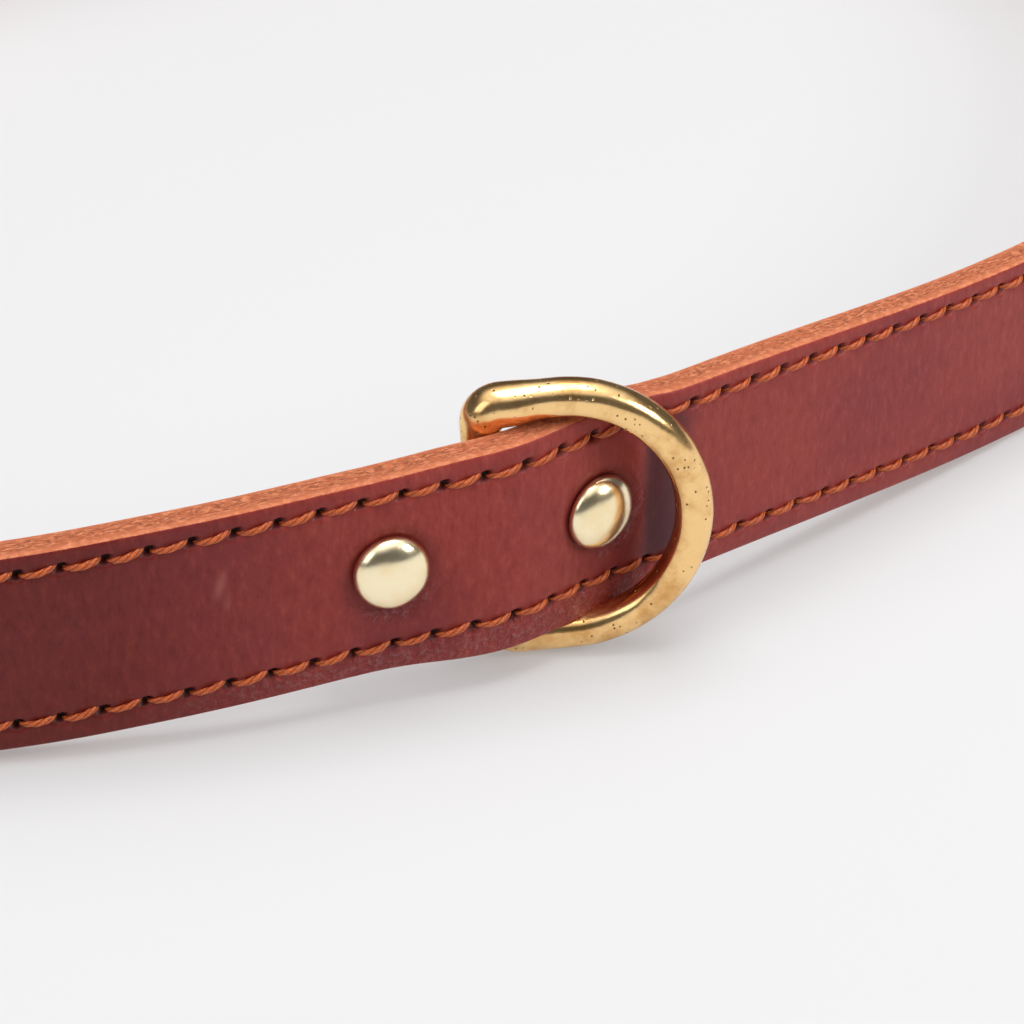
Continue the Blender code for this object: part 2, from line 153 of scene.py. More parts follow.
def move_to(piece: bpy.types.Object, places: np.ndarray) -> None:
    """Writes a mesh's vertices from rows of x, y and z."""
    piece.data.vertices.foreach_set("co", np.asarray(places, dtype=float).ravel())
    piece.data.update()


def note(piece: bpy.types.Object, name: str, values: np.ndarray) -> None:
    """Stores one number for each vertex under a name that a material can read."""
    layer = piece.data.attributes.new(name, "FLOAT", "POINT")
    layer.data.foreach_set("value", np.asarray(values, dtype=np.float32))


def chart(piece: bpy.types.Object, along: np.ndarray, across: np.ndarray) -> None:
    """Gives a piece of leather its own map, in metres.

    Args:
        piece: The mesh object.
        along: Each vertex's distance along the leather.
        across: Each vertex's distance round the section.
    """
    layer = piece.data.uv_layers.new(name="strap")
    corners = np.empty(len(piece.data.loops), dtype=np.int64)
    piece.data.loops.foreach_get("vertex_index", corners)
    layer.data.foreach_set("uv", np.stack([along[corners], across[corners]], axis=1).ravel())


def pick(*pieces: bpy.types.Object) -> None:
    """Selects these pieces alone, so that the next operator acts on nothing else.

    Args:
        pieces: The pieces, the active one first; with none, nothing stays selected.
    """
    bpy.ops.object.select_all(action="DESELECT")
    for piece in pieces:
        piece.select_set(True)
    if pieces:
        bpy.context.view_layer.objects.active = pieces[0]


def fresh(name: str) -> bpy.types.Object:
    """Names the primitive that was just added and applies its place.

    Args:
        name: Name of the object and of its mesh.
    Returns:
        The object.
    """
    piece = bpy.context.object
    piece.name = piece.data.name = name
    bpy.ops.object.transform_apply(location=True, rotation=True, scale=True)
    return piece


def smooth(piece: bpy.types.Object, degrees: float) -> None:
    """Shades a piece smooth, with edges sharper than the angle kept."""
    pick(piece)
    bpy.ops.object.shade_smooth_by_angle(angle=math.radians(degrees))


def outward(piece: bpy.types.Object) -> None:
    """Turns every face of a closed piece outwards.

    Args:
        piece: The mesh object.
    """
    pick(piece)
    bpy.ops.object.mode_set(mode="EDIT")
    bpy.ops.mesh.select_all(action="SELECT")
    bpy.ops.mesh.normals_make_consistent(inside=False)
    bpy.ops.object.mode_set(mode="OBJECT")


def draw_out(piece: bpy.types.Object, moves: list[tuple[float, float, float]]) -> None:
    """Extrudes a flat piece into a closed one, layer by layer.

    Args:
        piece: The mesh object.
        moves: The way that each layer goes.
    """
    pick(piece)
    bpy.ops.object.mode_set(mode="EDIT")
    bpy.ops.mesh.select_all(action="SELECT")
    for move in moves:
        bpy.ops.mesh.extrude_region_move(TRANSFORM_OT_translate={"value": move})
    bpy.ops.object.mode_set(mode="OBJECT")
    outward(piece)


def joined(pieces: list[bpy.types.Object]) -> bpy.types.Object:
    """Joins pieces into the first of them.

    Args:
        pieces: The mesh objects.
    Returns:
        The first one, which now holds them all.
    """
    pick(*pieces)
    bpy.ops.object.join()
    return pieces[0]


class Body(Enum):
    """The two rigid bodies of the collar."""

    COLLAR = "collar"
    RING = "ring"


def hand_over(piece: bpy.types.Object, finish: bpy.types.Material, degrees: float, body: Body, slot: str,
              *nodes: str) -> None:
    """Gives a finished piece its material and smooth shading, fastens it to its body and hides the solids
    that it stands for.

    Args:
        piece: The finished mesh.
        finish: Its one material.
        degrees: Edges sharper than this stay sharp.
        body: The body that it moves with.
        slot: The record's material slot; not used.
        nodes: Solids that the piece stands for.
    """
    piece.data.materials.clear()
    piece.data.materials.append(finish)
    smooth(piece, degrees)
    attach(piece, body.value)
    if nodes:
        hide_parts(*nodes)
    log.info("%s: %d faces", piece.name, len(piece.data.polygons))


# Finishes

class Step(Enum):
    """Kinds of shader node: type, settings that every use shares, and the output that is used."""

    PLACE = ("ShaderNodeTexCoord", {}, "Object")
    AROUND = ("ShaderNodeTexCoord", {}, "Generated")
    CHART = ("ShaderNodeUVMap", {"uv_map": "strap"}, "UV")
    STORED = ("ShaderNodeAttribute", {}, "Fac")
    STRETCH = ("ShaderNodeMapping", {}, 0)
    NOISE = ("ShaderNodeTexNoise", {}, "Fac")
    CELLS = ("ShaderNodeTexVoronoi", {"Randomness": 1.0}, "Distance")
    RED = ("ShaderNodeSeparateColor", {}, "Red")
    UP = ("ShaderNodeSeparateXYZ", {}, "Z")
    BLEND = ("ShaderNodeMix", {"data_type": "RGBA"}, 2)
    FADE = ("ShaderNodeMix", {"data_type": "FLOAT"}, 0)
    RANGE = ("ShaderNodeMapRange", {"interpolation_type": "SMOOTHSTEP"}, "Result")
    SPAN = ("ShaderNodeMapRange", {"interpolation_type": "LINEAR"}, "Result")
    TIMES = ("ShaderNodeMath", {"operation": "MULTIPLY"}, 0)
    PLUS = ("ShaderNodeMath", {"operation": "ADD"}, 0)
    MINUS = ("ShaderNodeMath", {"operation": "SUBTRACT"}, 0)
    BUMP = ("ShaderNodeBump", {}, 0)


def fill(tree: bpy.types.NodeTree, node: bpy.types.Node, values: dict[str | int, object]) -> None:
    """Sets a node's properties and inputs.

    Args:
        tree: The tree that holds the node.
        node: The node.
        values: By property, input name or input number: a plain value, a hex colour or a socket to link.
    """
    for key, value in values.items():
        if isinstance(value, bpy.types.NodeSocket):
            tree.links.new(value, node.inputs[key])
        elif isinstance(key, str) and hasattr(node, key):
            setattr(node, key, value)
        else:
            node.inputs[key].default_value = linear(value) if isinstance(value, str) else value


def add(tree: bpy.types.NodeTree, step: Step, *inputs: object, **named: object) -> bpy.types.NodeSocket:
    """Adds one shader node with its settings and links.

    Args:
        tree: The material's or the world's node tree.
        step: The kind of node.
        inputs: Its visible inputs in order, each a plain value, a hex colour or a socket to link.
        named: Further inputs and properties by name.
    Returns:
        The output that this kind is used for.
    """
    kind, settings, output = step.value
    node = tree.nodes.new(kind)
    fill(tree, node, settings)
    visible = [number for number, socket in enumerate(node.inputs) if socket.enabled]
    fill(tree, node, dict(zip(visible, inputs)))
    fill(tree, node, named)
    return node.outputs[output]


def start_material(name: str) -> tuple[bpy.types.Material, bpy.types.NodeTree, bpy.types.Node]:
    """Makes a material.

    Args:
        name: Its name.
    Returns:
        The material, its node tree and its Principled shader.
    """
    material = bpy.data.materials.new(name)
    material.use_nodes = True
    return material, material.node_tree, material.node_tree.nodes["Principled BSDF"]


def per_mm(size_mm: float) -> float:
    """Texture scale at which one cell of a pattern is this many millimetres wide."""
    return 1 / (size_mm * MM)


@dataclass(frozen=True)
class BridleLeather:
    """Vegetable-tanned bridle leather, dyed oxblood on the grain side, waxed and glazed.

    The dye is thin, so cut edges show the undyed orange-tan core with its fibres, and the flesh side is
    slicked and matt. The glaze gives a soft shine with a cool bloom where the leather turns away.
    """

    name: str = "bridle_leather_oxblood"
    # Dark and pale copies of each shade of the dye; painted light blends between them
    deep: tuple[str, str, str] = ("#53140f", "#641e19", "#7a2e24")
    pale: tuple[str, str, str] = ("#7c2823", "#913630", "#a64a40")
    bloom: str = "#722a33"
    # Painted shadow of the ring, laid on the leather beside its inner edge
    ring_shadow_colour: str = "#3a222a"
    worn: str = "#a8665a"
    core: str = "#c06c4a"
    core_light: str = "#d78660"
    core_dark: str = "#70290f"
    flesh: str = "#94543a"
    # Painted shade inside the awl holes
    hole: str = "#120403"
    grain_mm: float = 0.32
    pore_mm: float = 0.55
    fibre_mm: float = 0.26
    cloud_mm: float = 14.0
    mottle_mm: float = 0.8
    streak_mm: float = 0.9
    blotch_mm: float = 0.75
    ragged_mm: float = 0.42
    pebble_mm: float = 0.55

    def make(self) -> bpy.types.Material:
        """Builds the material; it reads the leather's own map and the values stored on its vertices.

        Returns:
            The material.
        """
        material, tree, shader = start_material(self.name)
        place, strap = add(tree, Step.PLACE), add(tree, Step.CHART)
        cut, depth, pit, scuff, painted_light, ring_shadow, gloss = (
            add(tree, Step.STORED, attribute_name=name)
            for name in ("cut", "depth", "pit", "scuff", "painted_light", "ring_shadow", "gloss"))

        # Dyed grain: clouds of bloom, brushed mottle and upright streaks over three shades of one dye
        clouds = add(tree, Step.NOISE, place, per_mm(self.cloud_mm), 4.0, 0.6)
        brushed = add(tree, Step.STRETCH, strap, Rotation=(0, 0, 0.35), Scale=(1.0, 0.4, 1.0))
        mottle = add(tree, Step.NOISE, brushed, per_mm(self.mottle_mm), 6.0, 0.72)
        upright = add(tree, Step.STRETCH, strap, Scale=(1.0, 0.12, 1.0))
        streaks = add(tree, Step.NOISE, upright, per_mm(self.streak_mm), 5.0, 0.65)
        # Painted light: each shade goes from its dark copy to its pale copy with the stored painted light,
        # darker at the strap's left end
        dark, dyed, light = (add(tree, Step.BLEND, painted_light, *shades) for shades in zip(self.deep, self.pale))
        for pattern, low, high, to_low, to_high, shade in (
                (clouds, 0.35, 0.75, 0, 0.5, self.bloom), (mottle, 0.35, 0.50, 0.55, 0, dark),
                (mottle, 0.50, 0.70, 0, 0.6, light), (streaks, 0.50, 0.8, 0, 0.4, light)):
            share = add(tree, Step.RANGE, pattern, low, high, to_low, to_high)
            dyed = add(tree, Step.BLEND, share, dyed, shade)
        # Painted shadow of the ring beside the crease, a scuff mark, then painted shade inside the awl holes
        for share, shade in ((ring_shadow, self.ring_shadow_colour), (scuff, self.worn), (pit, self.hole)):
            dyed = add(tree, Step.BLEND, share, dyed, shade)

        # Cut edge: fibres lie along the strap, dark flecks keep to the middle of the thickness
        lengthwise = add(tree, Step.STRETCH, strap, Scale=(0.28, 1.0, 1.0))
        fibres = add(tree, Step.NOISE, lengthwise, per_mm(self.fibre_mm), 6.0, 0.75)
        blotches = add(tree, Step.NOISE, place, per_mm(self.blotch_mm), 3.0)
        flecks = add(tree, Step.RANGE, fibres, 0.47, 0.56, 0, 1)
        for source, low, high, to_low, to_high in (
                (depth, 0.08, 0.40, 0, 1), (depth, 0.72, 0.97, 1, 0), (blotches, 0.35, 0.6, 0.4, 1)):
            flecks = add(tree, Step.TIMES, flecks, add(tree, Step.RANGE, source, low, high, to_low, to_high))
        patchy = add(tree, Step.RANGE, blotches, 0.35, 0.7, 0, 1)
        raw = add(tree, Step.BLEND, patchy, self.core, self.core_light)
        raw = add(tree, Step.BLEND, add(tree, Step.TIMES, flecks, 0.75), raw, self.core_dark)
        worked = add(tree, Step.RANGE, mottle, 0.35, 0.7, 0, 1)
        slicked = add(tree, Step.BLEND, worked, self.flesh, self.core)

        # Where the dye ends on the edge the line is ragged; the flesh side is slicked
        ragged = add(tree, Step.NOISE, place, per_mm(self.ragged_mm), 4.0, 0.7)
        stray = add(tree, Step.TIMES, add(tree, Step.MINUS, ragged, 0.5), 0.55)
        is_raw = add(tree, Step.RANGE, add(tree, Step.PLUS, cut, stray), 0.46, 0.54, 0, 1)
        is_flesh = add(tree, Step.TIMES, add(tree, Step.RANGE, depth, 0.985, 0.999, 0, 1),
                       add(tree, Step.RANGE, cut, 0.45, 0.5, 1, 0))
        colour = add(tree, Step.BLEND, is_flesh, add(tree, Step.BLEND, is_raw, dyed, raw), slicked)

        # Relief: pores and grain, then the rough cut, then pebbles where the leather is puckered
        pores = add(tree, Step.RANGE, add(tree, Step.CELLS, place, per_mm(self.pore_mm)), 0.05, 0.3, 0, 1)
        grain = add(tree, Step.NOISE, place, per_mm(self.grain_mm), 6.0, 0.6)
        skin = add(tree, Step.PLUS, add(tree, Step.TIMES, pores, 0.25), grain)
        skin = add(tree, Step.PLUS, skin, add(tree, Step.TIMES, streaks, 0.9))
        rough_cut = add(tree, Step.TIMES, add(tree, Step.PLUS, fibres, flecks), is_raw)
        pebbles = add(tree, Step.NOISE, place, per_mm(self.pebble_mm), 3.0, 0.6)
        bump = add(tree, Step.BUMP, Strength=0.22, Distance=0.12 * MM, Height=skin)
        bump = add(tree, Step.BUMP, Strength=0.55, Distance=0.30 * MM, Height=rough_cut, Normal=bump)
        bump = add(tree, Step.BUMP, Strength=1.0, Distance=0.6 * MM, Normal=bump,
                   Height=add(tree, Step.TIMES, pebbles, gloss))

        # Shine: the glaze catches the light in small sparks on the puckered leather; the cut is matt
        sparks = add(tree, Step.NOISE, place, per_mm(self.pebble_mm), 4.0, 0.65)
        spark = add(tree, Step.TIMES, add(tree, Step.RANGE, sparks, 0.42, 0.68, 0, 1), gloss)
        polish = add(tree, Step.MINUS, add(tree, Step.RANGE, clouds, 0.3, 0.7, 0.34, 0.44),
                     add(tree, Step.TIMES, spark, 0.16))
        fill(tree, shader, {"Base Color": colour, "Normal": bump, "IOR": 1.48,
                            "Specular IOR Level": add(tree, Step.RANGE, spark, 0.0, 1.0, 0.22, 0.85),
                            "Roughness": add(tree, Step.FADE, is_raw, polish, 0.85)})
        return material


@dataclass(frozen=True)
class WaxedThread:
    """Three-ply waxed linen thread, orange-brown, with painted shade in the grooves between its plies."""

    name: str = "waxed_linen_thread"
    light: str = "#e06f2c"
    base: str = "#a84514"
    groove_shade: str = "#6a260a"
    lint_mm: float = 0.16
    patch_mm: float = 2.2

    def make(self) -> bpy.types.Material:
        """Builds the material; the painted shade in the groove between plies follows a value stored on the
        vertices.

        Returns:
            The material.
        """
        material, tree, shader = start_material(self.name)
        place, ply = add(tree, Step.PLACE), add(tree, Step.STORED, attribute_name="ply")
        lint = add(tree, Step.NOISE, place, per_mm(self.lint_mm), 4.0, 0.7)
        patch = add(tree, Step.NOISE, place, per_mm(self.patch_mm), 2.0)
        colour = self.base
        # Lint lightens and patches vary the colour at random; the grooves between plies get painted shade
        for pattern, low, high, to_low, to_high, shade in (
                (lint, 0.35, 0.7, 0, 1, self.light), (patch, 0.45, 0.75, 0, 0.45, self.base),
                (ply, 0.0, 0.40, 0.85, 0, self.groove_shade)):
            share = add(tree, Step.RANGE, pattern, low, high, to_low, to_high)
            colour = add(tree, Step.BLEND, share, colour, shade)
        bump = add(tree, Step.BUMP, Strength=0.4, Distance=0.08 * MM, Height=lint)
        fill(tree, shader, {"Base Color": colour, "Normal": bump, "Roughness": 0.48})
        return material


@dataclass(frozen=True)
class Brass:
    """Solid brass: cast and tumbled, with pores and a darker skin, or pressed and polished."""

    name: str
    bright: str
    deep: str
    roughness: float
    pore_share: float
    wave: float
    pit: str = "#5a3a18"
    skin_mm: float = 5.0
    cell_mm: float = 0.75
    wave_mm: float = 2.4
    fine_mm: float = 0.22

    def make(self) -> bpy.types.Material:
        """Builds the material: warm metal, patchy skin, pinholes and soft waves in its polish.

        Returns:
            The material.
        """
        material, tree, shader = start_material(self.name)
        place = add(tree, Step.PLACE)
        skin = add(tree, Step.NOISE, place, per_mm(self.skin_mm), 5.0, 0.65)
        waves = add(tree, Step.NOISE, place, per_mm(self.wave_mm), 2.0)
        fine = add(tree, Step.NOISE, place, per_mm(self.fine_mm), 4.0, 0.7)
        cells = add(tree, Step.CELLS, place, per_mm(self.cell_mm))
        chance = add(tree, Step.RED, cells.node.outputs["Color"])
        has_pore = add(tree, Step.RANGE, chance, 1 - self.pore_share, 1 - self.pore_share + 0.02, 0, 1)
        pinhole = add(tree, Step.TIMES, add(tree, Step.RANGE, cells, 0.09, 0.2, 1, 0), has_pore)
        tarnish = add(tree, Step.RANGE, skin, 0.42, 0.70, 0, 0.8)
        colour = add(tree, Step.BLEND, tarnish, self.bright, self.deep)
        colour = add(tree, Step.BLEND, add(tree, Step.TIMES, pinhole, 0.85), colour, self.pit)
        height = add(tree, Step.TIMES, waves, self.wave)
        height = add(tree, Step.PLUS, height, add(tree, Step.TIMES, fine, 0.03))
        height = add(tree, Step.MINUS, height, add(tree, Step.TIMES, pinhole, 0.7))
        rough = add(tree, Step.SPAN, fine, 0.0, 1.0, self.roughness * 0.8, self.roughness * 1.25)
        bump = add(tree, Step.BUMP, Strength=0.5, Distance=0.20 * MM, Height=height)
        fill(tree, shader, {"Base Color": colour, "Metallic": 1.0, "Roughness": rough, "Normal": bump})
        return material


# Sand-cast and tumbled: warm yellow, pores, a soft shine
CAST_BRASS = Brass("cast_brass_tumbled", "#fbd192", "#cb924e", 0.20, 0.60, 0.55)
# Pressed from sheet and polished: pale, a clear shine with shallow dents
PRESSED_BRASS = Brass("pressed_brass_polished", "#fff0cb", "#fbe3b2", 0.22, 0.0, 0.7)


# Where the strap runs

@dataclass(frozen=True)
class Stretch:
    """One stretch of the photographed front: its share of the front's length and its turn."""

    name: str
    share: float
    turn: float


@dataclass
class PlanLine:
    """A line seen from above, along which flat pieces are bent to stand on edge."""

    points: np.ndarray
    rise: np.ndarray
    station: np.ndarray
    run: np.ndarray = field(init=False)
    angle: np.ndarray = field(init=False)

    def __post_init__(self) -> None:
        """Measures the line's length and direction at each of its points."""
        steps = np.diff(self.points, axis=0)
        self.run = np.concatenate([[0], np.cumsum(np.hypot(steps[:, 0], steps[:, 1]))])
        ahead = np.gradient(self.points, axis=0)
        self.angle = np.unwrap(np.arctan2(ahead[:, 1], ahead[:, 0]))

    def bend(self, flat: np.ndarray) -> np.ndarray:
        """Bends a flat piece along the line.

        Args:
            flat: Rows of distance along the line, height above its lower edge, and depth inward.
        Returns:
            Rows of x, y and z.
        """
        x = np.interp(flat[:, 0], self.run, self.points[:, 0])
        y = np.interp(flat[:, 0], self.run, self.points[:, 1])
        angle = np.interp(flat[:, 0], self.run, self.angle)
        z = np.interp(flat[:, 0], self.run, self.rise) + flat[:, 1]
        past = np.clip(flat[:, 0], None, 0) + np.clip(flat[:, 0] - self.run[-1], 0, None)
        x = x + past * np.cos(angle) - flat[:, 2] * np.sin(angle)
        y = y + past * np.sin(angle) + flat[:, 2] * np.cos(angle)
        return np.stack([x, y, z], axis=1)


@dataclass
class StrapCourse:
    """The strap's closed course, with the sizes that the solids were made from."""

    width: float = 22.0 * MM
    thickness: float = 3.4 * MM
    gap: float = 0.3 * MM
    loop_length: float = 680.0 * MM
    front_length: float = 123.7 * MM
    front_heading: float = 6.8
    stretches: tuple[Stretch, ...] = (
        Stretch("left_end", 0.113, 5.6),
        Stretch("left_curve", 0.162, 5.9),
        Stretch("left_flat", 0.099, 0.0),
        Stretch("ring_bend", 0.092, 21.5),
        Stretch("rivet_flat", 0.024, 0.0),
        Stretch("tuck", 0.061, -7.5),
        Stretch("crease", 0.061, 7.9),
        Stretch("right_curve", 0.194, 1.1),
        Stretch("right_end", 0.194, 1.6),
    )
    oval_share: float = -0.2
    skew_share: float = -0.3
    ring_wire: float = 3.9 * MM
    ring_slack: float = 1.95 * MM
    ring_lift_share: float = 0.69
    ring_lift_shift: float = 5.0 * MM
    ring_lift_left: float = 90.0 * MM
    ring_lift_right: float = 80.0 * MM
    buckle_wire: float = 3.2 * MM
    buckle_length: float = 18.0 * MM
    buckle_side_gap: float = 0.5 * MM
    buckle_tip: float = 2.5 * MM
    buckle_lift_half: float = 70.0 * MM
    buckle_place: float = 0.50
    return_length: float = 26.0 * MM
    heel_ease: float = 14.0 * MM
    tip_length: float = 62.0 * MM
    step: float = 0.25 * MM

    def __post_init__(self) -> None:
        """Closes the loop, then finds the strap's middle line and its place in the frame."""
        self.middle = self.thickness / 2
        self.hidden_length = self.loop_length - self.front_length
        self.front_turn = sum(part.turn for part in self.stretches)
        self.heel_radius = self.buckle_wire / 2 + self.gap + self.thickness / 2
        self.layer = self.thickness + self.gap
        self.bar_station = self.station_of("ring_bend")
        self.heel_station = self.front_length + self.buckle_place * self.hidden_length
        self.along = self.across = 0.0
        self.shift = np.zeros(2)
        self.close()
        self.strap = self.strap_line()
        self.settle()

    def station_of(self, wanted: str) -> float:
        """Distance from the front's left end to the middle of a named stretch.

        Args:
            wanted: The stretch's name.
        Returns:
            The distance.
        """
        at = 0.0
        for part in self.stretches:
            if part.name == wanted:
                return (at + part.share / 2) * self.front_length
            at += part.share
        raise ValueError(wanted)

    def heading(self, s: np.ndarray) -> np.ndarray:
        """Direction of the outer face at distances s, in radians from +X.

        Args:
            s: Distances along the outer face.
        Returns:
            The angles.
        """
        s = np.mod(s, self.loop_length)
        angle = np.full(np.shape(s), self.front_heading)
        at = 0.0
        for part in self.stretches:
            done = np.clip((s / self.front_length - at) / part.share, 0, 1)
            angle = angle + part.turn * done * done * (3 - 2 * done)
            at += part.share
        share = np.clip((s - self.front_length) / self.hidden_length, 0, 1)
        once, twice = 2 * np.pi * share, 4 * np.pi * share
        rest = (share + (self.along * np.sin(once) + self.across * (1 - np.cos(once))) / (2 * np.pi)
                + (self.oval_share * np.sin(twice) + self.skew_share * (1 - np.cos(twice))) / (4 * np.pi))
        return np.radians(angle + (360 - self.front_turn) * rest)

    def walk(self) -> np.ndarray:
        """Points along the outer face, once round.

        Returns:
            Rows of x and y.
        """
        count = round(self.loop_length / self.step)
        step = self.loop_length / count
        angle = self.heading((np.arange(count) + 0.5) * step)
        ahead = np.stack([np.cos(angle), np.sin(angle)], axis=1) * step
        return np.concatenate([np.zeros((1, 2)), np.cumsum(ahead, axis=0)])

    def close(self) -> None:
        """Finds the two shares of curvature that bring the loop back to its start."""
        nudge = 1e-4
        for _ in range(12):
            miss = self.walk()[-1]
            self.along += nudge
            by_along = (self.walk()[-1] - miss) / nudge
            self.along -= nudge
            self.across += nudge
            by_across = (self.walk()[-1] - miss) / nudge
            self.across -= nudge
            change = np.linalg.solve(np.stack([by_along, by_across], axis=1), -miss)
            self.along += change[0]
            self.across += change[1]
        self.outline = self.walk()

    def at(self, s: np.ndarray, depth: np.ndarray) -> np.ndarray:
        """Plan points at distances s, at depths inward from the outer face.

        Args:
            s: Distances along the outer face.
            depth: Depths inward.
        Returns:
            Rows of x and y.
        """
        where = np.mod(s, self.loop_length)
        stations = np.linspace(0, self.loop_length, len(self.outline))
        angle = self.heading(s)
        x = np.interp(where, stations, self.outline[:, 0]) - depth * np.sin(angle)
        y = np.interp(where, stations, self.outline[:, 1]) + depth * np.cos(angle)
        return np.stack([x, y], axis=1) + self.shift

    def lift(self, s: np.ndarray) -> np.ndarray:
        """Height of the strap's lower edge over the floor.

        Args:
            s: Distances along the outer face.
        Returns:
            The heights.
        """
        ring = self.ring_wire + self.ring_lift_share * self.ring_slack
        buckle = self.buckle_wire + self.buckle_side_gap + self.gap
        from_ring = self.away(s, self.bar_station + self.ring_lift_shift)
        from_buckle = self.away(s, self.heel_station - self.buckle_length / 2)
        ring_half = np.where(from_ring < 0, self.ring_lift_left, self.ring_lift_right)
        return (ring * ease(1 - np.abs(from_ring) / ring_half)
                + buckle * ease(1 - np.abs(from_buckle) / self.buckle_lift_half))

    def away(self, s: np.ndarray, place: float) -> np.ndarray:
        """Distance from a place the shorter way round, below zero on its left."""
        return np.mod(s - place + self.loop_length / 2, self.loop_length) - self.loop_length / 2

    def strap_line(self) -> PlanLine:
        """The strap's middle line, from its folded end once round to its tip.

        Returns:
            The line.
        """
        heel, radius, mid = self.heel_station, self.heel_radius, self.middle
        front_bar = heel - self.buckle_length
        front_ease = 2 * self.heel_ease
        under, over = mid - self.buckle_tip + radius, mid - radius - self.layer
        turn = np.linspace(0, np.pi, 60)
        back = np.arange(heel + self.return_length, heel, -self.step)
        leave = np.arange(heel + self.step, heel + self.heel_ease, self.step)
        round_neck = np.arange(heel + self.heel_ease, self.loop_length + front_bar - front_ease, self.step)
        dip = np.arange(front_bar - front_ease, front_bar, self.step)
        rise = np.arange(front_bar, heel, self.step)
        settle = np.arange(heel, heel + self.heel_ease, self.step)
        free = np.arange(heel + self.heel_ease, heel + self.tip_length + self.step / 2, self.step)
        through = (rise - front_bar - self.buckle_wire / 4) / (self.buckle_length - self.buckle_wire)
        legs = [
            (back, np.full(len(back), mid + max(radius, self.layer))),
            (heel - radius * np.sin(turn), mid + radius * np.cos(turn)),
            (leave, mid - radius * (1 - ease((leave - heel) / self.heel_ease))),
            (round_neck, np.full(len(round_neck), mid)),
            (dip, mid + (under - mid) * ease((dip - front_bar) / front_ease + 1)),
            (rise, under + (over - under) * ease(through)),
            (settle, over + radius * ease((settle - heel) / self.heel_ease)),
            (free, np.full(len(free), mid - self.layer)),
        ]
        station = np.concatenate([leg[0] for leg in legs])
        depth = np.concatenate([leg[1] for leg in legs])
        self.neck_part = slice(len(back) + len(turn), len(back) + len(turn) + len(leave) + len(round_neck))
        return PlanLine(self.at(station, depth), self.lift(station), station)

    def settle(self) -> None:
        """Moves the course so that its strap fills the box of the strap's solid."""
        low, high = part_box("strap")
        run = self.strap.run
        edges = [np.stack([run, 0 * run, 0 * run + side * self.middle], axis=1) for side in (-1, 1)]
        reach = self.strap.bend(np.concatenate(edges))[:, :2]
        centre = (reach.min(axis=0) + reach.max(axis=0)) / 2
        self.shift = np.array([(low.x + high.x) / 2, (low.y + high.y) / 2]) - centre
        self.strap = self.strap_line()

    def run_at(self, offset: np.ndarray | float) -> np.ndarray:
        """Distance along the strap's middle line of places at offsets from the ring's bar.

        Args:
            offset: Distance from the bar along the strap, to the right.
        Returns:
            Distance along the middle line.
        """
        part = self.neck_part
        station = np.asarray(offset) + self.bar_station + self.loop_length
        return np.interp(station, self.strap.station[part], self.strap.run[part])


# The strap

@dataclass
class Seam:
    """One row of stitches: its height on the strap and the place of one of its holes."""

    height: float
    first_hole: float


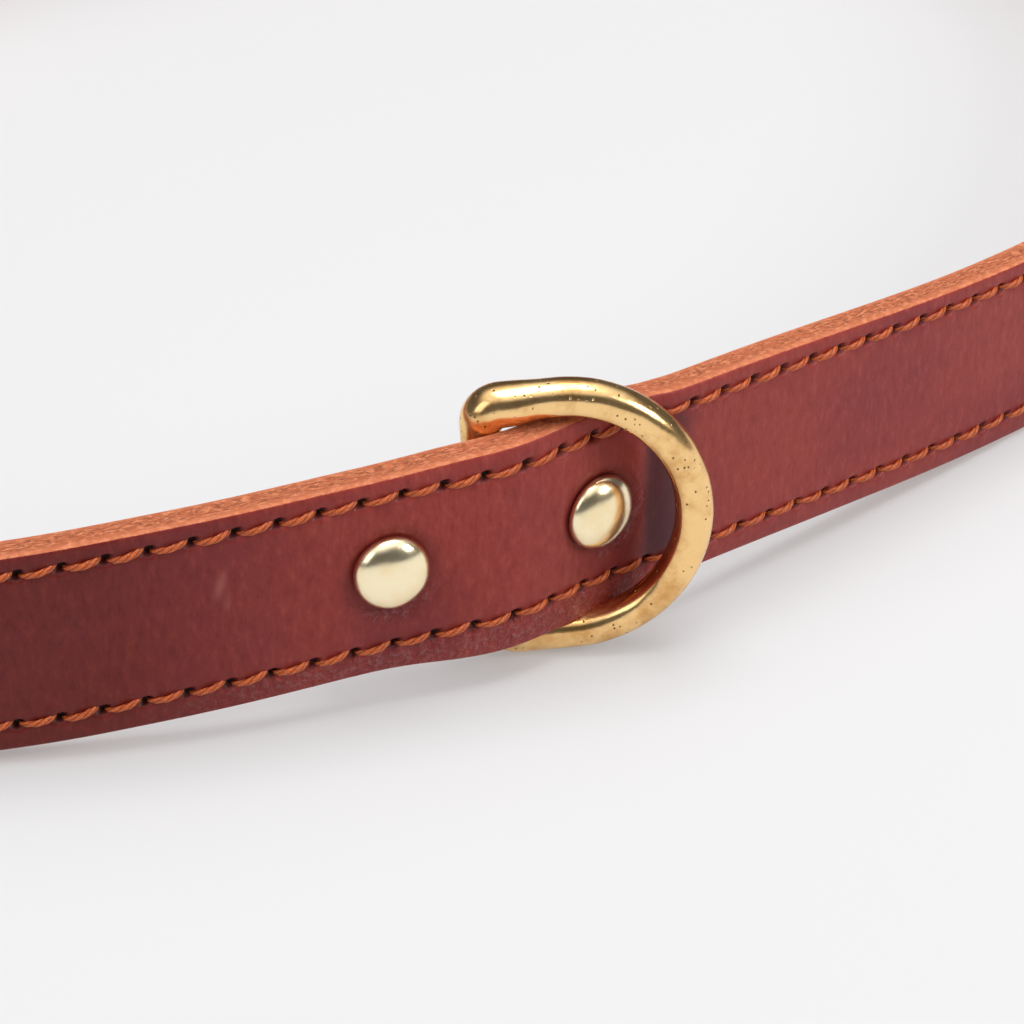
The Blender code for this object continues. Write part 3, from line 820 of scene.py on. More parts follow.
@dataclass
class Strap:
    """The bridle-leather strap, with pressed seams, awl holes and the dents round the rivets."""

    course: StrapCourse
    finish: bpy.types.Material
    pitch: float = 4.075 * MM
    seams: tuple[Seam, ...] = (Seam(2.93 * MM, -49.5 * MM), Seam(19.89 * MM, -48.3 * MM))
    corner: float = 0.32 * MM
    tip_round: float = 13.0 * MM
    front_reach: tuple[float, float] = (-54.0 * MM, 76.0 * MM)
    rivets: tuple[tuple[float, float], ...] = ((-12.7 * MM, 11.65 * MM), (10.3 * MM, 11.15 * MM))
    cap: float = 3.9 * MM
    scuff: tuple[float, float] = (-29.3 * MM, 14.6 * MM)
    # Painted light along the strap: darker at the first of these places, fully lit from the second on
    light_ramp_from: float = -46.0 * MM
    light_ramp_to: float = -8.0 * MM
    crease: float = 16.0 * MM
    flare: float = 1.1 * MM
    flare_at: float = 4.0 * MM
    top_flare: float = 0.50 * MM
    holes: tuple[int, ...] = (-2, -1, 1, 2)
    hole_pitch: float = 20.0 * MM
    hole_size: float = 3.5 * MM
    prong_crossing: float = 0.62
    front_spacing: float = 0.34 * MM
    seam_press: float = 0.16 * MM
    hole_depth: float = 0.85 * MM
    hole_half: tuple[float, float] = (0.66 * MM, 0.52 * MM)
    edge_press: tuple[float, float] = (0.25 * MM, 0.12 * MM)
    crease_press: float = 0.20 * MM
    rivet_press: float = 0.45 * MM
    pucker: float = 0.10 * MM

    def columns(self) -> np.ndarray:
        """Places of the cross-sections: close together in front, further apart behind.

        Returns:
            The places in order.
        """
        near, far = (float(self.course.run_at(edge)) for edge in self.front_reach)
        holes = self.hole_places()
        total = self.course.strap.run[-1]

        def spacing(t: np.ndarray) -> np.ndarray:
            """Wanted distance between cross-sections.

            Args:
                t: Places along the strap.
            Returns:
                The distance at each place.
            """
            away = np.maximum(np.maximum(near - t, t - far), 0)
            folded = np.minimum(np.abs(t - self.course.return_length - 8 * MM), np.abs(t - total))
            behind = np.clip(0.5 * MM + folded / 10, 0.5 * MM, 3.0 * MM)
            punched = np.min([np.abs(t - hole) for hole in holes], axis=0)
            behind = np.minimum(behind, 0.5 * MM + np.clip(punched - 2.2 * MM, 0, None) / 3)
            return np.where(away > 0, np.minimum(self.front_spacing + away / 7, behind), self.front_spacing)

        return spread(0, total, spacing)

    def hole_places(self) -> np.ndarray:
        """Distances along the strap of its adjusting holes, evenly spaced from the prong's place.

        Returns:
            The distances in order.
        """
        course, line, neck = self.course, self.course.strap, self.course.neck_part
        station = np.concatenate([line.station[neck] - course.loop_length, line.station[neck.stop:]])
        crossing = course.heel_station - self.prong_crossing * course.buckle_length
        return np.interp(crossing + self.hole_pitch * np.array(self.holes), station, line.run[neck.start:])

    def punch(self, slab: bpy.types.Object) -> None:
        """Punches the adjusting holes through the flat slab.

        Args:
            slab: The flat slab.
        """
        course, dies = self.course, []
        for number, along in enumerate(self.hole_places()):
            pick()
            bpy.ops.mesh.primitive_cylinder_add(
                vertices=32, radius=self.hole_size / 2, depth=4 * course.thickness,
                location=(along, course.width / 2, course.thickness / 2))
            dies.append(fresh(f"die_{number}"))
        die = joined(dies)
        step = slab.modifiers.new("punch", "BOOLEAN")
        step.operation, step.solver, step.object = "DIFFERENCE", "EXACT", die
        pick(slab)
        bpy.ops.object.modifier_apply(modifier=step.name)
        bpy.data.objects.remove(die, do_unlink=True)

    def rows(self) -> np.ndarray:
        """Heights of the rows of faces: close together at the edges and along the seams.

        Returns:
            The heights in order.
        """
        def spacing(z: np.ndarray) -> np.ndarray:
            """Wanted distance between rows.

            Args:
                z: Heights across the strap.
            Returns:
                The distance at each height.
            """
            edge = np.minimum(z, self.course.width - z)
            seam = np.min([np.abs(z - row.height) for row in self.seams], axis=0)
            by_seam = 0.17 * MM + np.clip(seam - 0.6 * MM, 0, None) / 3
            return np.clip(np.minimum(0.12 * MM + edge / 4, by_seam), 0.12 * MM, 0.65 * MM)

        return spread(0, self.course.width, spacing)

    def slab(self) -> bpy.types.Object:
        """A flat slab of leather: x along it, y across it, z through it, outer face at the bottom.

        Returns:
            The slab.
        """
        columns, rows = self.columns(), self.rows()
        pick()
        bpy.ops.mesh.primitive_grid_add(x_subdivisions=len(columns) - 1, y_subdivisions=len(rows) - 1, size=2)
        slab = fresh("strap_leather")
        places = places_of(slab)
        places[:, 0] = np.interp(places[:, 0], np.linspace(-1, 1, len(columns)), columns)
        places[:, 1] = np.interp(places[:, 1], np.linspace(-1, 1, len(rows)), rows)
        places[:, 2] = 0
        move_to(slab, places)
        half = self.course.thickness / 2
        levels = spread(0, self.course.thickness,
                        lambda z: np.clip(0.12 * MM + np.minimum(z, 2 * half - z) / 2, 0.12 * MM, 0.6 * MM))
        draw_out(slab, [(0, 0, float(step)) for step in np.diff(levels)])
        return slab

    def nearest_hole(self, seam: Seam, along: np.ndarray) -> np.ndarray:
        """Signed distance along the strap to the seam's nearest awl hole.

        Args:
            seam: The row of holes.
            along: Distances along the strap.
        Returns:
            Distances past the hole.
        """
        start = float(self.course.run_at(seam.first_hole))
        return np.mod(along - start + self.pitch / 2, self.pitch) - self.pitch / 2

    def margins(self, height: np.ndarray) -> tuple[np.ndarray, np.ndarray]:
        """How far out of the seams places lie, from 0 at a seam to 1 at the edge.

        Args:
            height: Heights on the strap.
        Returns:
            The shares below the lower seam and above the upper one.
        """
        low, high = self.seams[0].height, self.course.width - self.seams[1].height
        return np.clip(1 - height / low, 0, 1), np.clip(1 - (self.course.width - height) / high, 0, 1)

    def relief(self, along: np.ndarray, height: np.ndarray) -> tuple[np.ndarray, np.ndarray]:
        """How far the outer face is pressed in, and how deep in an awl hole each place lies.

        Args:
            along: Distances along the strap.
            height: Heights on it.
        Returns:
            The depths in metres and the shares of a hole's depth.
        """
        press = np.zeros(len(along))
        hole = np.zeros(len(along))
        for seam in self.seams:
            away = height - seam.height
            press += self.seam_press * bell(away, 0.8 * MM)
            near = self.nearest_hole(seam, along)
            slant = away - 0.15 * near
            pit = bell(np.hypot(near / self.hole_half[0], slant / self.hole_half[1]), 1.0, 4)
            press += self.hole_depth * pit
            hole = np.maximum(hole, pit)
            press -= self.seam_press * bell(near - 0.35 * MM, 0.35 * MM) * bell(away + 0.80 * MM, 0.35 * MM)
        for edge_press, margin in zip(self.edge_press, self.margins(height)):
            press += edge_press * margin ** 2
        from_crease = along - float(self.course.run_at(self.crease))
        press += self.crease_press * bell(from_crease - 0.8 * MM, 1.3 * MM)
        for offset, rivet_height in self.rivets:
            du, dv = along - float(self.course.run_at(offset)), height - rivet_height
            away = np.hypot(du, dv)
            turn = np.arctan2(dv, du)
            press += self.rivet_press * bell(away, self.cap * 1.12, 5)
            collar = bell(away - self.cap * 1.28, 0.55 * MM)
            pucker = 0.5 + 0.5 * np.cos(turn + 0.9)
            press -= self.pucker * collar * (0.4 + pucker)
            press += 0.5 * self.pucker * collar * pucker * np.sin(11 * turn + 700 * along)
        return press, hole

    def build(self) -> bpy.types.Object:
        """Shapes the slab, bends it along the course and dresses it.

        Returns:
            The finished strap.
        """
        course = self.course
        slab = self.slab()
        self.punch(slab)
        places = places_of(slab)
        along, height, through = places.T.copy()
        total = course.strap.run[-1]
        chart(slab, along, height + through)

        half, mid = course.width / 2, course.thickness / 2
        level = through - mid
        new_height, new_level = rounded(height - half, level, (half, mid), self.corner)
        new_height = new_height + half

        # Seams, holes, rivets: the outer face is pressed in fully, the inner face a little
        press, hole = self.relief(along, height)
        outer = np.clip(0.5 - level / course.thickness, 0, 1)
        new_level = new_level + press * outer - 0.5 * press * (1 - outer)
        slow = np.sin(along * 61) * 0.05 * MM + np.sin(along * 143 + 1) * 0.04 * MM
        new_level = new_level + slow * (1 - outer)
        new_height = new_height + 0.05 * MM * np.sin(along * 95 + 2) * np.sign(height - half)
        by_ring = bell(along - float(course.run_at(self.flare_at)), 13 * MM, 4)
        below, above = self.margins(height)
        new_height = new_height + by_ring * (self.top_flare * above - self.flare * below)

        # Rounded tip
        into_tip = np.clip((along - (total - self.tip_round)) / self.tip_round, 0, 0.995)
        new_height = half + (new_height - half) * np.sqrt(1 - into_tip ** 2.2)

        move_to(slab, course.strap.bend(np.stack([along, new_height, new_level], axis=1)))
        note(slab, "depth", through / course.thickness)
        # The pits of the awl holes on the outer face get painted shade in the material
        note(slab, "pit", hole * (level < 0))
        self.note_cut(slab, along, height, level)
        self.note_colour(slab, along, height, level < 0)
        hand_over(slab, self.finish, 55, Body.COLLAR, "strap_leather", "strap")
        return slab

    def note_cut(self, slab: bpy.types.Object, along: np.ndarray, height: np.ndarray,
                 level: np.ndarray) -> None:
        """Notes where the leather is cut: 0 on its faces, 0.5 at their edges and 1 inside a wall.

        Args:
            slab: The strap.
            along: Each vertex's distance along it.
            height: Each vertex's height across it.
            level: Each vertex's depth from its middle.
        """
        half, mid, total = self.course.width / 2, self.course.thickness / 2, self.course.strap.run[-1]
        edge_room = 0.30 * MM
        from_side = half - np.abs(height - half)
        on_face = np.abs(level) > mid - 1e-6
        from_face = mid - np.abs(level)
        face_value = 0.5 * np.clip(1 - from_side / edge_room, 0, 1)
        wall_value = 0.5 + 0.5 * np.clip(from_face / edge_room, 0, 1)
        end_wall = (along < 1e-6) | (along > total - 1e-6)
        from_hole = np.min([np.hypot(along - hole, height - half) for hole in self.hole_places()], axis=0)
        rim = from_hole < self.hole_size / 2 + 0.02 * MM
        cut = np.where(end_wall, 1.0, np.where(on_face, face_value, wall_value))
        note(slab, "cut", np.where(rim, 0.62, cut))

    def note_colour(self, slab: bpy.types.Object, along: np.ndarray, height: np.ndarray,
                    outside: np.ndarray) -> None:
        """Notes the painted light and painted shade along the strap, the painted shadow of the ring beside
        the crease, the scuff and the gloss.

        Args:
            slab: The strap.
            along: Each vertex's distance along it.
            height: Each vertex's height across it.
            outside: Whether each vertex is in the outer half.
        """
        course = self.course
        # Painted light: darker at the strap's left end, lighter towards the ring
        light_ramp_start, light_ramp_end = float(course.run_at(self.light_ramp_from)), float(course.run_at(self.light_ramp_to))
        painted_light = 0.04 + 0.96 * ease((along - light_ramp_start) / (light_ramp_end - light_ramp_start))
        # Painted shade: darker below each rivet cap, and in a ring round its rim
        for offset, rivet_height in self.rivets:
            du, dv = along - float(course.run_at(offset)), height - rivet_height
            painted_light = painted_light * (1 - 0.60 * bell(np.hypot(du - 2 * MM, 1.2 * (dv + 5.5 * MM)), 6 * MM))
            painted_light = painted_light * (1 - 0.45 * bell(np.hypot(du, dv) - self.cap, 1.0 * MM))
        note(slab, "painted_light", painted_light)
        # Painted shadow of the ring: a dark band from just past the crease towards the ring, kept off the
        # edges and the inner face
        by_crease = (along - float(course.run_at(self.crease))) / MM
        band = ease((by_crease + 0.6) / 1.4) * ease((7.0 - by_crease) / 4.0)
        inside = ease((height - 1.5 * MM) / (3 * MM)) * ease((course.width - 1.0 * MM - height) / (3 * MM))
        note(slab, "ring_shadow", 0.80 * band * inside * outside)
        du = along - float(course.run_at(self.scuff[0]))
        dv = height - self.scuff[1]
        mark = bell(du - 0.25 * dv, 0.45 * MM) * bell(dv, 1.3 * MM)
        mark = mark + 0.5 * bell(du - 0.5 * MM, 0.3 * MM) * bell(dv + 2.2 * MM, 0.9 * MM)
        note(slab, "scuff", 0.5 * mark * outside)
        gloss = bell(height - 1.3 * MM, 1.5 * MM) * bell(along - float(course.run_at(-9 * MM)), 25 * MM, 4)
        for (offset, rivet_height), aim in zip(self.rivets, (-1.4, -0.8)):
            du, dv = along - float(course.run_at(offset)), height - rivet_height
            crescent = bell(np.hypot(du, dv) - self.cap * 1.30, 0.9 * MM)
            gloss = gloss + crescent * np.clip(np.cos(np.arctan2(dv, du) - aim), 0, 1) ** 2
        note(slab, "gloss", np.clip(gloss, 0, 1) * outside)


@dataclass
class Stitching:
    """Twisted thread that runs over and under the leather from hole to hole."""

    strap: Strap
    finish: bpy.types.Material
    thread: float = 0.78 * MM
    slant: float = 0.34 * MM
    sink: float = 0.70 * MM
    hole_share: float = 0.06
    plies: int = 3
    turns: float = 1.1

    def stitch(self, name: str, sides: int, parts: int) -> bpy.types.Object:
        """One stitch as a straight twisted thread from hole to hole, along x.

        Args:
            name: The object's name.
            sides: Corners of the thread's section.
            parts: Lengths that it is divided into.
        Returns:
            The thread, lying on the x axis, one pitch long.
        """
        pick()
        bpy.ops.mesh.primitive_circle_add(vertices=sides, radius=1.0, fill_type="NGON",
                                          rotation=(0, math.pi / 2, 0))
        thread = fresh(name)
        draw_out(thread, [(self.strap.pitch / parts, 0, 0)] * parts)
        return thread

    def row(self, name: str, seam: Seam, start: int, count: int, sides: int, parts: int,
            side: int) -> bpy.types.Object:
        """A row of stitches on one face of the strap.

        Args:
            name: The object's name.
            seam: The seam that it fills.
            start: Number of its first hole, from the seam's named hole.
            count: How many stitches it has.
            sides: Corners of the thread's section.
            parts: Lengths of each stitch.
            side: -1 for the outer face, 1 for the inner face.
        Returns:
            The finished row.
        """
        strap, pitch = self.strap, self.strap.pitch
        row = self.stitch(name, sides, parts)
        array = row.modifiers.new("repeat", "ARRAY")
        array.use_relative_offset = False
        array.use_constant_offset = True
        array.constant_offset_displace = (pitch, 0, 0)
        array.count = count
        pick(row)
        bpy.ops.object.modifier_apply(modifier=array.name)
        places = places_of(row)
        size = len(places) // count
        which = np.repeat(np.arange(count), size)
        share = np.clip((places[:, 0] - which * pitch) / pitch, 0, 1)
        rng = np.random.default_rng(start + 1000 + round(seam.height / MM))
        tilt, bulge, roll = (rng.normal(0, 1, count)[which] for _ in range(3))
        around = np.arctan2(places[:, 2], places[:, 1])
        twist = 2 * np.pi * self.turns * share + roll
        lobe = np.cos(self.plies * (around - twist))
        radius = self.thread / 2 * (0.93 + 0.07 * lobe) * (1 + 0.06 * bulge)
        radius = radius * (0.80 + 0.24 * share ** 0.8) * (0.72 + 0.28 * np.sin(np.pi * share) ** 0.4)
        pressed = np.sin(np.pi * share ** 1.15) ** 0.6
        height = seam.height + (share - 0.5) * 2 * self.slant * (1 + 0.25 * tilt) * -side
        proud = -self.sink + (self.sink + 0.16 * MM) * pressed
        reach = self.hole_share + (1 - 2 * self.hole_share) * share
        along = float(strap.course.run_at(seam.first_hole)) + (start + which + reach) * pitch
        press, _ = strap.relief(along, np.full(len(along), seam.height + 0.9 * MM))
        face = strap.course.thickness / 2
        surface = -face + press if side < 0 else face - 0.5 * press
        flat = np.stack([along, height + radius * np.cos(around),
                         surface + side * proud + radius * 0.82 * np.sin(around)], axis=1)
        move_to(row, strap.course.strap.bend(flat))
        note(row, "ply", (lobe + 1) / 2)
        outward(row)
        hand_over(row, self.finish, 80, Body.COLLAR, "strap_leather")
        return row

    def build(self) -> None:
        """Fine stitches in front of the camera, plainer ones round the rest and on the inner face."""
        course = self.strap.course
        total = course.strap.run[-1]
        for number, seam in enumerate(self.strap.seams):
            label = ("lower", "upper")[number]
            first = float(course.run_at(seam.first_hole))
            front = round((self.strap.front_reach[1] - self.strap.front_reach[0]) / self.strap.pitch)
            lead = int(first // self.strap.pitch)
            tail = int((total - self.strap.tip_round - first) // self.strap.pitch) - front
            self.row(f"stitches_{label}_front", seam, -1, front + 1, 15, 22, -1)
            self.row(f"stitches_{label}_left", seam, -lead, lead - 1, 6, 6, -1)
            self.row(f"stitches_{label}_right", seam, front, tail, 6, 6, -1)
            self.row(f"stitches_{label}_inner", seam, -lead, lead + front + tail, 6, 5, 1)


# Metal

@dataclass
class Rivet:
    """A double-cap rivet: a domed cap outside, a post, and a low cap inside."""

    side: str
    offset: float
    height: float
    course: StrapCourse
    finish: bpy.types.Material
    cap: float = 7.6 * MM
    back_cap: float = 6.4 * MM
    dome: float = 1.95 * MM
    post: float = 3.0 * MM
    tab: float = 2.0 * MM
    squareness: float = 2.2
    tall: float = 1.05

    def button(self, name: str, radius: float, rise: float, under: float) -> bpy.types.Object:
        """A round cap along +z whose dome turns into a rolled rim.

        Args:
            name: The object's name.
            radius: Its radius.
            rise: Height of its dome.
            under: Depth of its rim.
        Returns:
            The cap, with the middle of its rim at the origin.
        """
        pick()
        bpy.ops.mesh.primitive_uv_sphere_add(segments=64, ring_count=32, radius=1.0)
        cap = fresh(name)
        places = places_of(cap)
        reach = np.hypot(places[:, 0], places[:, 1])
        stretch = 1 / np.maximum((reach ** self.squareness + np.abs(places[:, 2]) ** self.squareness)
                                 ** (1 / self.squareness), 1e-9)
        places = places * stretch[:, None]
        places[:, :2] *= radius
        places[:, 2] *= np.where(places[:, 2] > 0, rise, under)
        move_to(cap, places)
        return cap

    def build(self) -> bpy.types.Object:
        """Models the rivet on the z axis and sets it through strap and tab.

        Returns:
            The finished rivet.
        """
        course = self.course
        outer = course.thickness / 2 + course.gap * 0.3
        inner = course.thickness / 2 + 2 * course.gap + self.tab
        cap = self.button(f"rivet_{self.side}_brass", self.cap / 2, self.dome, 0.45 * MM)
        places = places_of(cap)
        dent = 0.05 * MM * np.sin(900 * places[:, 0] + 1.3) * np.sin(1100 * places[:, 1] + 0.4)
        places[:, 1] *= self.tall
        places[:, 2] += outer + np.where(places[:, 2] > 0.3 * self.dome, dent, 0)
        move_to(cap, places)
        back = self.button("back_cap", self.back_cap / 2, self.dome * 0.8, 0.05 * MM)
        places = places_of(back)
        places[:, 2] = -inner - places[:, 2]
        move_to(back, places)
        pick()
        length = outer + inner
        bpy.ops.mesh.primitive_cylinder_add(vertices=32, radius=self.post / 2, depth=length,
                                            location=(0, 0, (outer - inner) / 2))
        post = fresh("post")
        rivet = joined([cap, back, post])
        where = float(course.run_at(self.offset))
        places = places_of(rivet)
        origin = course.strap.bend(np.array([[where, self.height, 0.0]]))[0]
        angle = float(np.interp(where, course.strap.run, course.strap.angle))
        along = np.array([math.cos(angle), math.sin(angle), 0])
        inward = np.array([-math.sin(angle), math.cos(angle), 0])
        up = np.array([0, 0, 1.0])
        move_to(rivet, origin + places[:, :1] * along + places[:, 1:2] * up - places[:, 2:3] * inward)
        outward(rivet)
        hand_over(rivet, self.finish, 60, Body.COLLAR, "rivet_brass", f"rivet_{self.side}")
        return rivet


@dataclass
class WirePath:
    """A closed line in the XZ plane that a cast ring follows."""

    points: np.ndarray

    def sweep(self, name: str, steps: int, sides: int,
              section: Callable[[np.ndarray, np.ndarray], np.ndarray]) -> bpy.types.Object:
        """Shapes a torus so that its ring follows the line.

        Args:
            name: The object's name.
            steps: Sections round the line.
            sides: Corners of each section.
            section: Function from angles round the wire, 0 towards the outside, and shares of the way
                round to radii.
        Returns:
            The ring in its own plane.
        """
        pick()
        bpy.ops.mesh.primitive_torus_add(major_segments=steps, minor_segments=sides, major_radius=1.0,
                                         minor_radius=0.2)
        ring = fresh(name)
        places = places_of(ring)
        share = np.mod(np.arctan2(places[:, 1], places[:, 0]) / (2 * np.pi), 1)
        out = np.hypot(places[:, 0], places[:, 1]) - 1
        around = np.arctan2(places[:, 2], out)
        closed = np.vstack([self.points, self.points[:1]])
        steps_long = np.hypot(*np.diff(closed, axis=0).T)
        run = np.concatenate([[0], np.cumsum(steps_long)])
        wrapped = np.vstack([closed[-2:-1], closed, closed[1:2]])
        ahead = wrapped[2:] - wrapped[:-2]
        turn = np.unwrap(np.arctan2(ahead[:, 1], ahead[:, 0]))
        where = share * run[-1]
        x, z = (np.interp(where, run, closed[:, i]) for i in (0, 1))
        angle = np.interp(where, run, turn)
        radius = section(around, share)
        normal = np.stack([np.sin(angle), 0 * angle, -np.cos(angle)], axis=1)
        across = np.array([0, -1.0, 0])
        centre = np.stack([x, 0 * x, z], axis=1)
        move_to(ring, centre + (radius * np.cos(around))[:, None] * normal
                + (radius * np.sin(around))[:, None] * across)
        return ring


def arc(centre: tuple[float, float], radius: float, start: float, end: float) -> np.ndarray:
    """Points on an arc, angles in degrees from +X towards +Z.

    Args:
        centre: The arc's centre.
        radius: Its radius.
        start: First angle.
        end: Last angle.
    Returns:
        Rows of two.
    """
    angle = np.radians(np.linspace(start, end, 16))
    return np.stack([centre[0] + radius * np.cos(angle), centre[1] + radius * np.sin(angle)], axis=1)


@dataclass
class DRing:
    """The cast D-ring: straight bar behind the strap, arc in front, with a soft ridge on its casting."""

    finish: bpy.types.Material
    frame: dict
    course: StrapCourse
    leg_past: float = 2.0 * MM
    bow: float = 12.7 * MM
    corner: float = 2.3 * MM
    heavy_leg: float = 0.69
    lean: float = 4.5
    swing: float = 25.8

    def build(self) -> bpy.types.Object:
        """Sweeps the casting's section round the D and sets it on the joint's axis.

        Returns:
            The finished ring.
        """
        course = self.course
        wire = course.ring_wire
        half = (course.width + course.ring_slack + wire) / 2
        leg = wire / 2 + course.gap + course.thickness + self.leg_past
        angle = np.linspace(-np.pi / 2, np.pi / 2, 120)
        bow = np.stack([leg + self.bow * np.cos(angle), half * np.sin(angle)], axis=1)
        low, high = (self.corner, -half + self.corner), (self.corner, half - self.corner)
        path = WirePath(np.vstack([arc(low, self.corner, 180, 270), bow, arc(high, self.corner, 90, 180)]))

        def section(around: np.ndarray, share: np.ndarray) -> np.ndarray:
            """Radius of the wire.

            Args:
                around: Angles round the wire.
                share: Shares of the way along it.
            Returns:
                The radii.
            """
            ridge = bell(np.mod(around - 2.35 + np.pi, 2 * np.pi) - np.pi, 0.30)
            flats = 1 - 0.010 * np.cos(4 * around)
            way = 2 * np.pi * share
            wobble = 1 + 0.004 * np.sin(9 * way) + 0.003 * np.sin(23 * way + 1)
            heavy = 1 + 0.32 * bell(share - self.heavy_leg, 0.045, 4) * (0.5 - 0.5 * np.cos(around))
            return wire / 2 * (0.975 + 0.035 * ridge) * flats * wobble * heavy

        ring = path.sweep("d_ring_casting", 260, 36, section)
        joint = self.frame["joints"][0]
        heading = float(course.heading(np.array([course.bar_station]))[0])
        turn = (Matrix.Rotation(heading, 4, "Z") @ Matrix.Rotation(-math.radians(self.lean), 4, "Y")
                @ Matrix.Rotation(-math.radians(self.swing), 4, "Z"))
        place = Matrix.Translation(Vector(joint["pos_m"])) @ turn
        ring.data.transform(place)
        outward(ring)
        hand_over(ring, self.finish, 80, Body.RING, "ring_brass", "d_ring")
        return ring


@dataclass
class Tab:
    """The plain leather tab behind the strap, which goes round the ring's bar between the rivets."""

    course: StrapCourse
    finish: bpy.types.Material
    width: float = 12.0 * MM
    thickness: float = 2.0 * MM
    past_rivet: float = 6.5 * MM
    slack: float = 0.6 * MM
    back_cap: float = 6.4 * MM
    rivets: tuple[float, float] = (-12.7 * MM, 10.6 * MM)
    corner: float = 0.3 * MM

    def line(self) -> PlanLine:
        """The tab's middle line: flat on the strap at its ends, out round the bar between them.

        Returns:
            The line.
        """
        course = self.course
        flat = course.thickness + course.gap + self.thickness / 2
        start, end = self.rivets[0] - self.past_rivet, self.rivets[1] + self.past_rivet
        offset = np.arange(start, end + course.step / 2, course.step)
        station = course.bar_station + offset
        depth = np.full(len(station), flat)
        points = course.at(station, depth)
        middle = course.at(np.array([course.bar_station]), depth[:1])[0]
        angle = float(course.heading(np.array([course.bar_station]))[0])
        reach = np.abs((points - middle) @ np.array([math.cos(angle), math.sin(angle)]))
        ends = [float(np.interp(rivet, offset, reach)) for rivet in self.rivets]
        half = min(ends) - self.back_cap / 2 - course.gap
        bulge = (course.ring_wire + 2 * course.gap + self.slack) * (1 - ease(reach / half))
        points = points + bulge[:, None] * np.array([-math.sin(angle), math.cos(angle)])
        return PlanLine(points, course.lift(station), station)

    def build(self) -> bpy.types.Object:
        """Bends a flat piece with rounded edges along the tab's line.

        Returns:
            The finished tab.
        """
        line = self.line()
        pick()
        bpy.ops.mesh.primitive_cube_add(size=1.0)
        tab = fresh("ring_tab_leather")
        bpy.ops.object.mode_set(mode="EDIT")
        bpy.ops.mesh.select_all(action="SELECT")
        bpy.ops.mesh.subdivide(number_cuts=40)
        bpy.ops.object.mode_set(mode="OBJECT")
        places = places_of(tab)
        share = places + 0.5
        height, through = rounded(places[:, 1] * self.width, places[:, 2] * self.thickness,
                                  (self.width / 2, self.thickness / 2), self.corner)
        along = share[:, 0] * line.run[-1]
        move_to(tab, line.bend(np.stack([along, self.course.width / 2 + height, through], axis=1)))
        on_wall = (np.abs(places[:, 1]) > 0.499) | (np.abs(places[:, 0]) > 0.499)
        note(tab, "cut", np.where(on_wall, 1.0, 0.0))
        note(tab, "depth", 0.9 * share[:, 2])
        # The tab gets one middle level of the painted light
        note(tab, "painted_light", np.full(len(places), 0.4))
        chart(tab, along, height + through)
        outward(tab)
        hand_over(tab, self.finish, 55, Body.COLLAR, "tab_leather", "ring_tab")
        return tab


@dataclass
class Buckle:
    """The plain cast buckle at the back: a rounded frame with a straight prong."""

    course: StrapCourse
    finish: bpy.types.Material
    corner: float = 2.4 * MM
    prong: float = 2.4 * MM

    def place(self) -> Matrix:
        """Frame on the heel bar: X back along the strap to the front bar, Z up.

        Returns:
            The frame's place.
        """
        course = self.course
        heel = np.array([course.heel_station])
        angle = float(course.heading(heel)[0])
        at_heel = course.at(heel, np.array([course.middle]))[0]
        at_front = course.at(heel - course.buckle_length, np.array([course.middle - course.buckle_tip]))[0]
        away = at_front - at_heel
        turn = math.atan2(away[1], away[0]) + math.pi
        rise = course.buckle_wire + course.buckle_side_gap + course.gap + course.width / 2
        log.info("buckle: frame stands %.1f degrees off the strap", math.degrees(turn - angle))
        return Matrix.Translation((*at_heel, rise)) @ Matrix.Rotation(turn, 4, "Z")

    def build(self) -> bpy.types.Object:
        """Sweeps the frame's wire and joins the prong to it.

        Returns:
            The finished buckle.
        """
        course, c = self.course, self.corner
        half = course.width / 2 + course.buckle_side_gap + course.buckle_wire / 2
        reach = math.hypot(course.buckle_length, course.buckle_tip)
        heel, front, low, high = -c, c - reach, c - half, half - c
        path = WirePath(np.vstack([arc((heel, low), c, 0, -90), arc((front, low), c, 270, 180),
                                   arc((front, high), c, 180, 90), arc((heel, high), c, 90, 0)]))

        def section(around: np.ndarray, share: np.ndarray) -> np.ndarray:
            """Radius of the wire.

            Args:
                around: Angles round the wire.
                share: Shares of the way along it.
            Returns:
                The radii.
            """
            wobble = 1 + 0.01 * np.sin(2 * np.pi * share * 7)
            return course.buckle_wire / 2 * 0.985 * (1 - 0.02 * np.cos(4 * around)) * wobble

        frame = path.sweep("buckle_casting", 200, 24, section)
        pick()
        bpy.ops.mesh.primitive_cylinder_add(vertices=24, radius=self.prong / 2, depth=reach,
                                            location=(-reach / 2, 0, 0), rotation=(0, math.pi / 2, 0))
        buckle = joined([frame, fresh("prong")])
        buckle.data.transform(self.place())
        outward(buckle)
        hand_over(buckle, self.finish, 60, Body.COLLAR, "buckle_brass", "buckle")
        return buckle


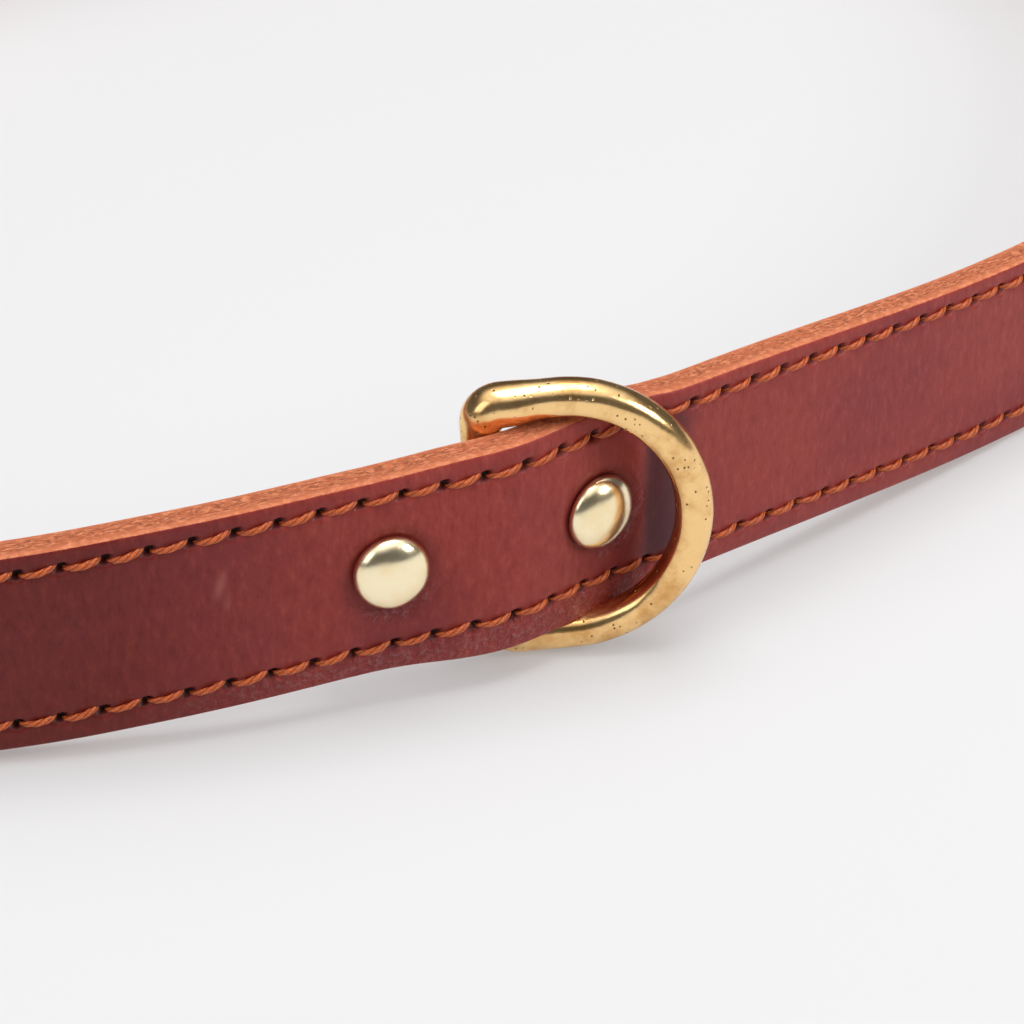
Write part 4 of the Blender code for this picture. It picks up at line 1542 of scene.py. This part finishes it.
@dataclass
class Studio:
    """Pale floor, soft light from above and the camera of the photograph."""

    lens: float = 126.56
    sensor: float = 36.0
    elevation: float = 33.41
    distance: float = 382.3 * MM
    target: tuple[float, float, float] = (23.42 * MM, -63.21 * MM, 0.0)
    floor: str = "#adadae"
    glow: float = 0.27

    def camera(self) -> None:
        """Sets the camera at the photograph's height, distance and lens."""
        data = bpy.data.cameras.new("camera")
        data.lens, data.sensor_width = self.lens, self.sensor
        data.clip_start, data.clip_end = 0.01, 20
        camera = bpy.data.objects.new("camera", data)
        bpy.context.scene.collection.objects.link(camera)
        rise = math.radians(self.elevation)
        target = Vector(self.target)
        camera.location = target + self.distance * Vector((0, -math.cos(rise), math.sin(rise)))
        camera.rotation_euler = (math.pi / 2 - rise, 0, 0)
        bpy.context.scene.camera = camera

    def film(self) -> None:
        """Plain response, so that the pale floor and the saturated leather keep their colours."""
        view = bpy.context.scene.view_settings
        view.view_transform = "Standard"
        view.look = "None"

    def ground(self) -> None:
        """A wide translucent table, lit a little from below, which softens the shadows."""
        pick()
        bpy.ops.mesh.primitive_plane_add(size=6.0)
        floor = fresh("floor")
        material, tree, shader = start_material("opal_acrylic_table")
        fill(tree, shader, {"Base Color": self.floor, "Emission Color": "#ffffff",
                            "Emission Strength": self.glow, "Roughness": 0.9, "Specular IOR Level": 0.1})
        floor.data.materials.append(material)

    def lamp(self, name: str, place: tuple[float, float, float], size: float, power: float,
             aim: Vector) -> None:
        """Adds one soft square light that points at the aim.

        Args:
            name: The lamp's name.
            place: Where it stands.
            size: Side of its square.
            power: Its power in watts.
            aim: The point that it faces.
        """
        data = bpy.data.lights.new(name, "AREA")
        data.shape, data.size, data.energy = "SQUARE", size, power
        lamp = bpy.data.objects.new(name, data)
        bpy.context.scene.collection.objects.link(lamp)
        lamp.location = place
        lamp.rotation_euler = (aim - Vector(place)).to_track_quat("-Z", "Y").to_euler()

    def light(self) -> None:
        """Soft light all round, brightest from above, with a dim band low in the room for the metal."""
        world = bpy.data.worlds.new("studio")
        world.use_nodes = True
        bpy.context.scene.world = world
        tree = world.node_tree
        up = add(tree, Step.UP, add(tree, Step.AROUND))
        glow = add(tree, Step.BLEND, add(tree, Step.RANGE, up, 0.52, 0.88, 0.09, 1.0), "#000000", "#ffffff")
        fill(tree, tree.nodes["Background"], {"Color": glow, "Strength": 1.25})
        aim = Vector(self.target)
        self.lamp("top_softbox", (0.05, -0.05, 0.85), 0.55, 4.6, aim)
        self.lamp("right_softbox", (0.80, -0.35, 0.50), 0.32, 3.5, aim)
        self.lamp("left_card", (-0.6, -0.6, 0.45), 0.5, 1.3, aim)


def main() -> None:
    """Builds the collar's looks piece by piece."""
    logging.basicConfig(level=logging.INFO, format="%(name)s %(message)s")
    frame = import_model()
    course = StrapCourse()
    leather = BridleLeather().make()
    thread = WaxedThread().make()
    cast, pressed = CAST_BRASS.make(), PRESSED_BRASS.make()
    strap = Strap(course, leather)
    strap.build()
    Stitching(strap, thread).build()
    for side, (offset, height) in zip(("left", "right"), strap.rivets):
        Rivet(side, offset, height, course, pressed).build()
    DRing(cast, frame, course).build()
    Tab(course, leather).build()
    Buckle(course, cast).build()
    studio = Studio()
    studio.film()
    studio.ground()
    studio.light()
    studio.camera()
    bpy.context.view_layer.update()


if __name__ == "__main__":
    main()
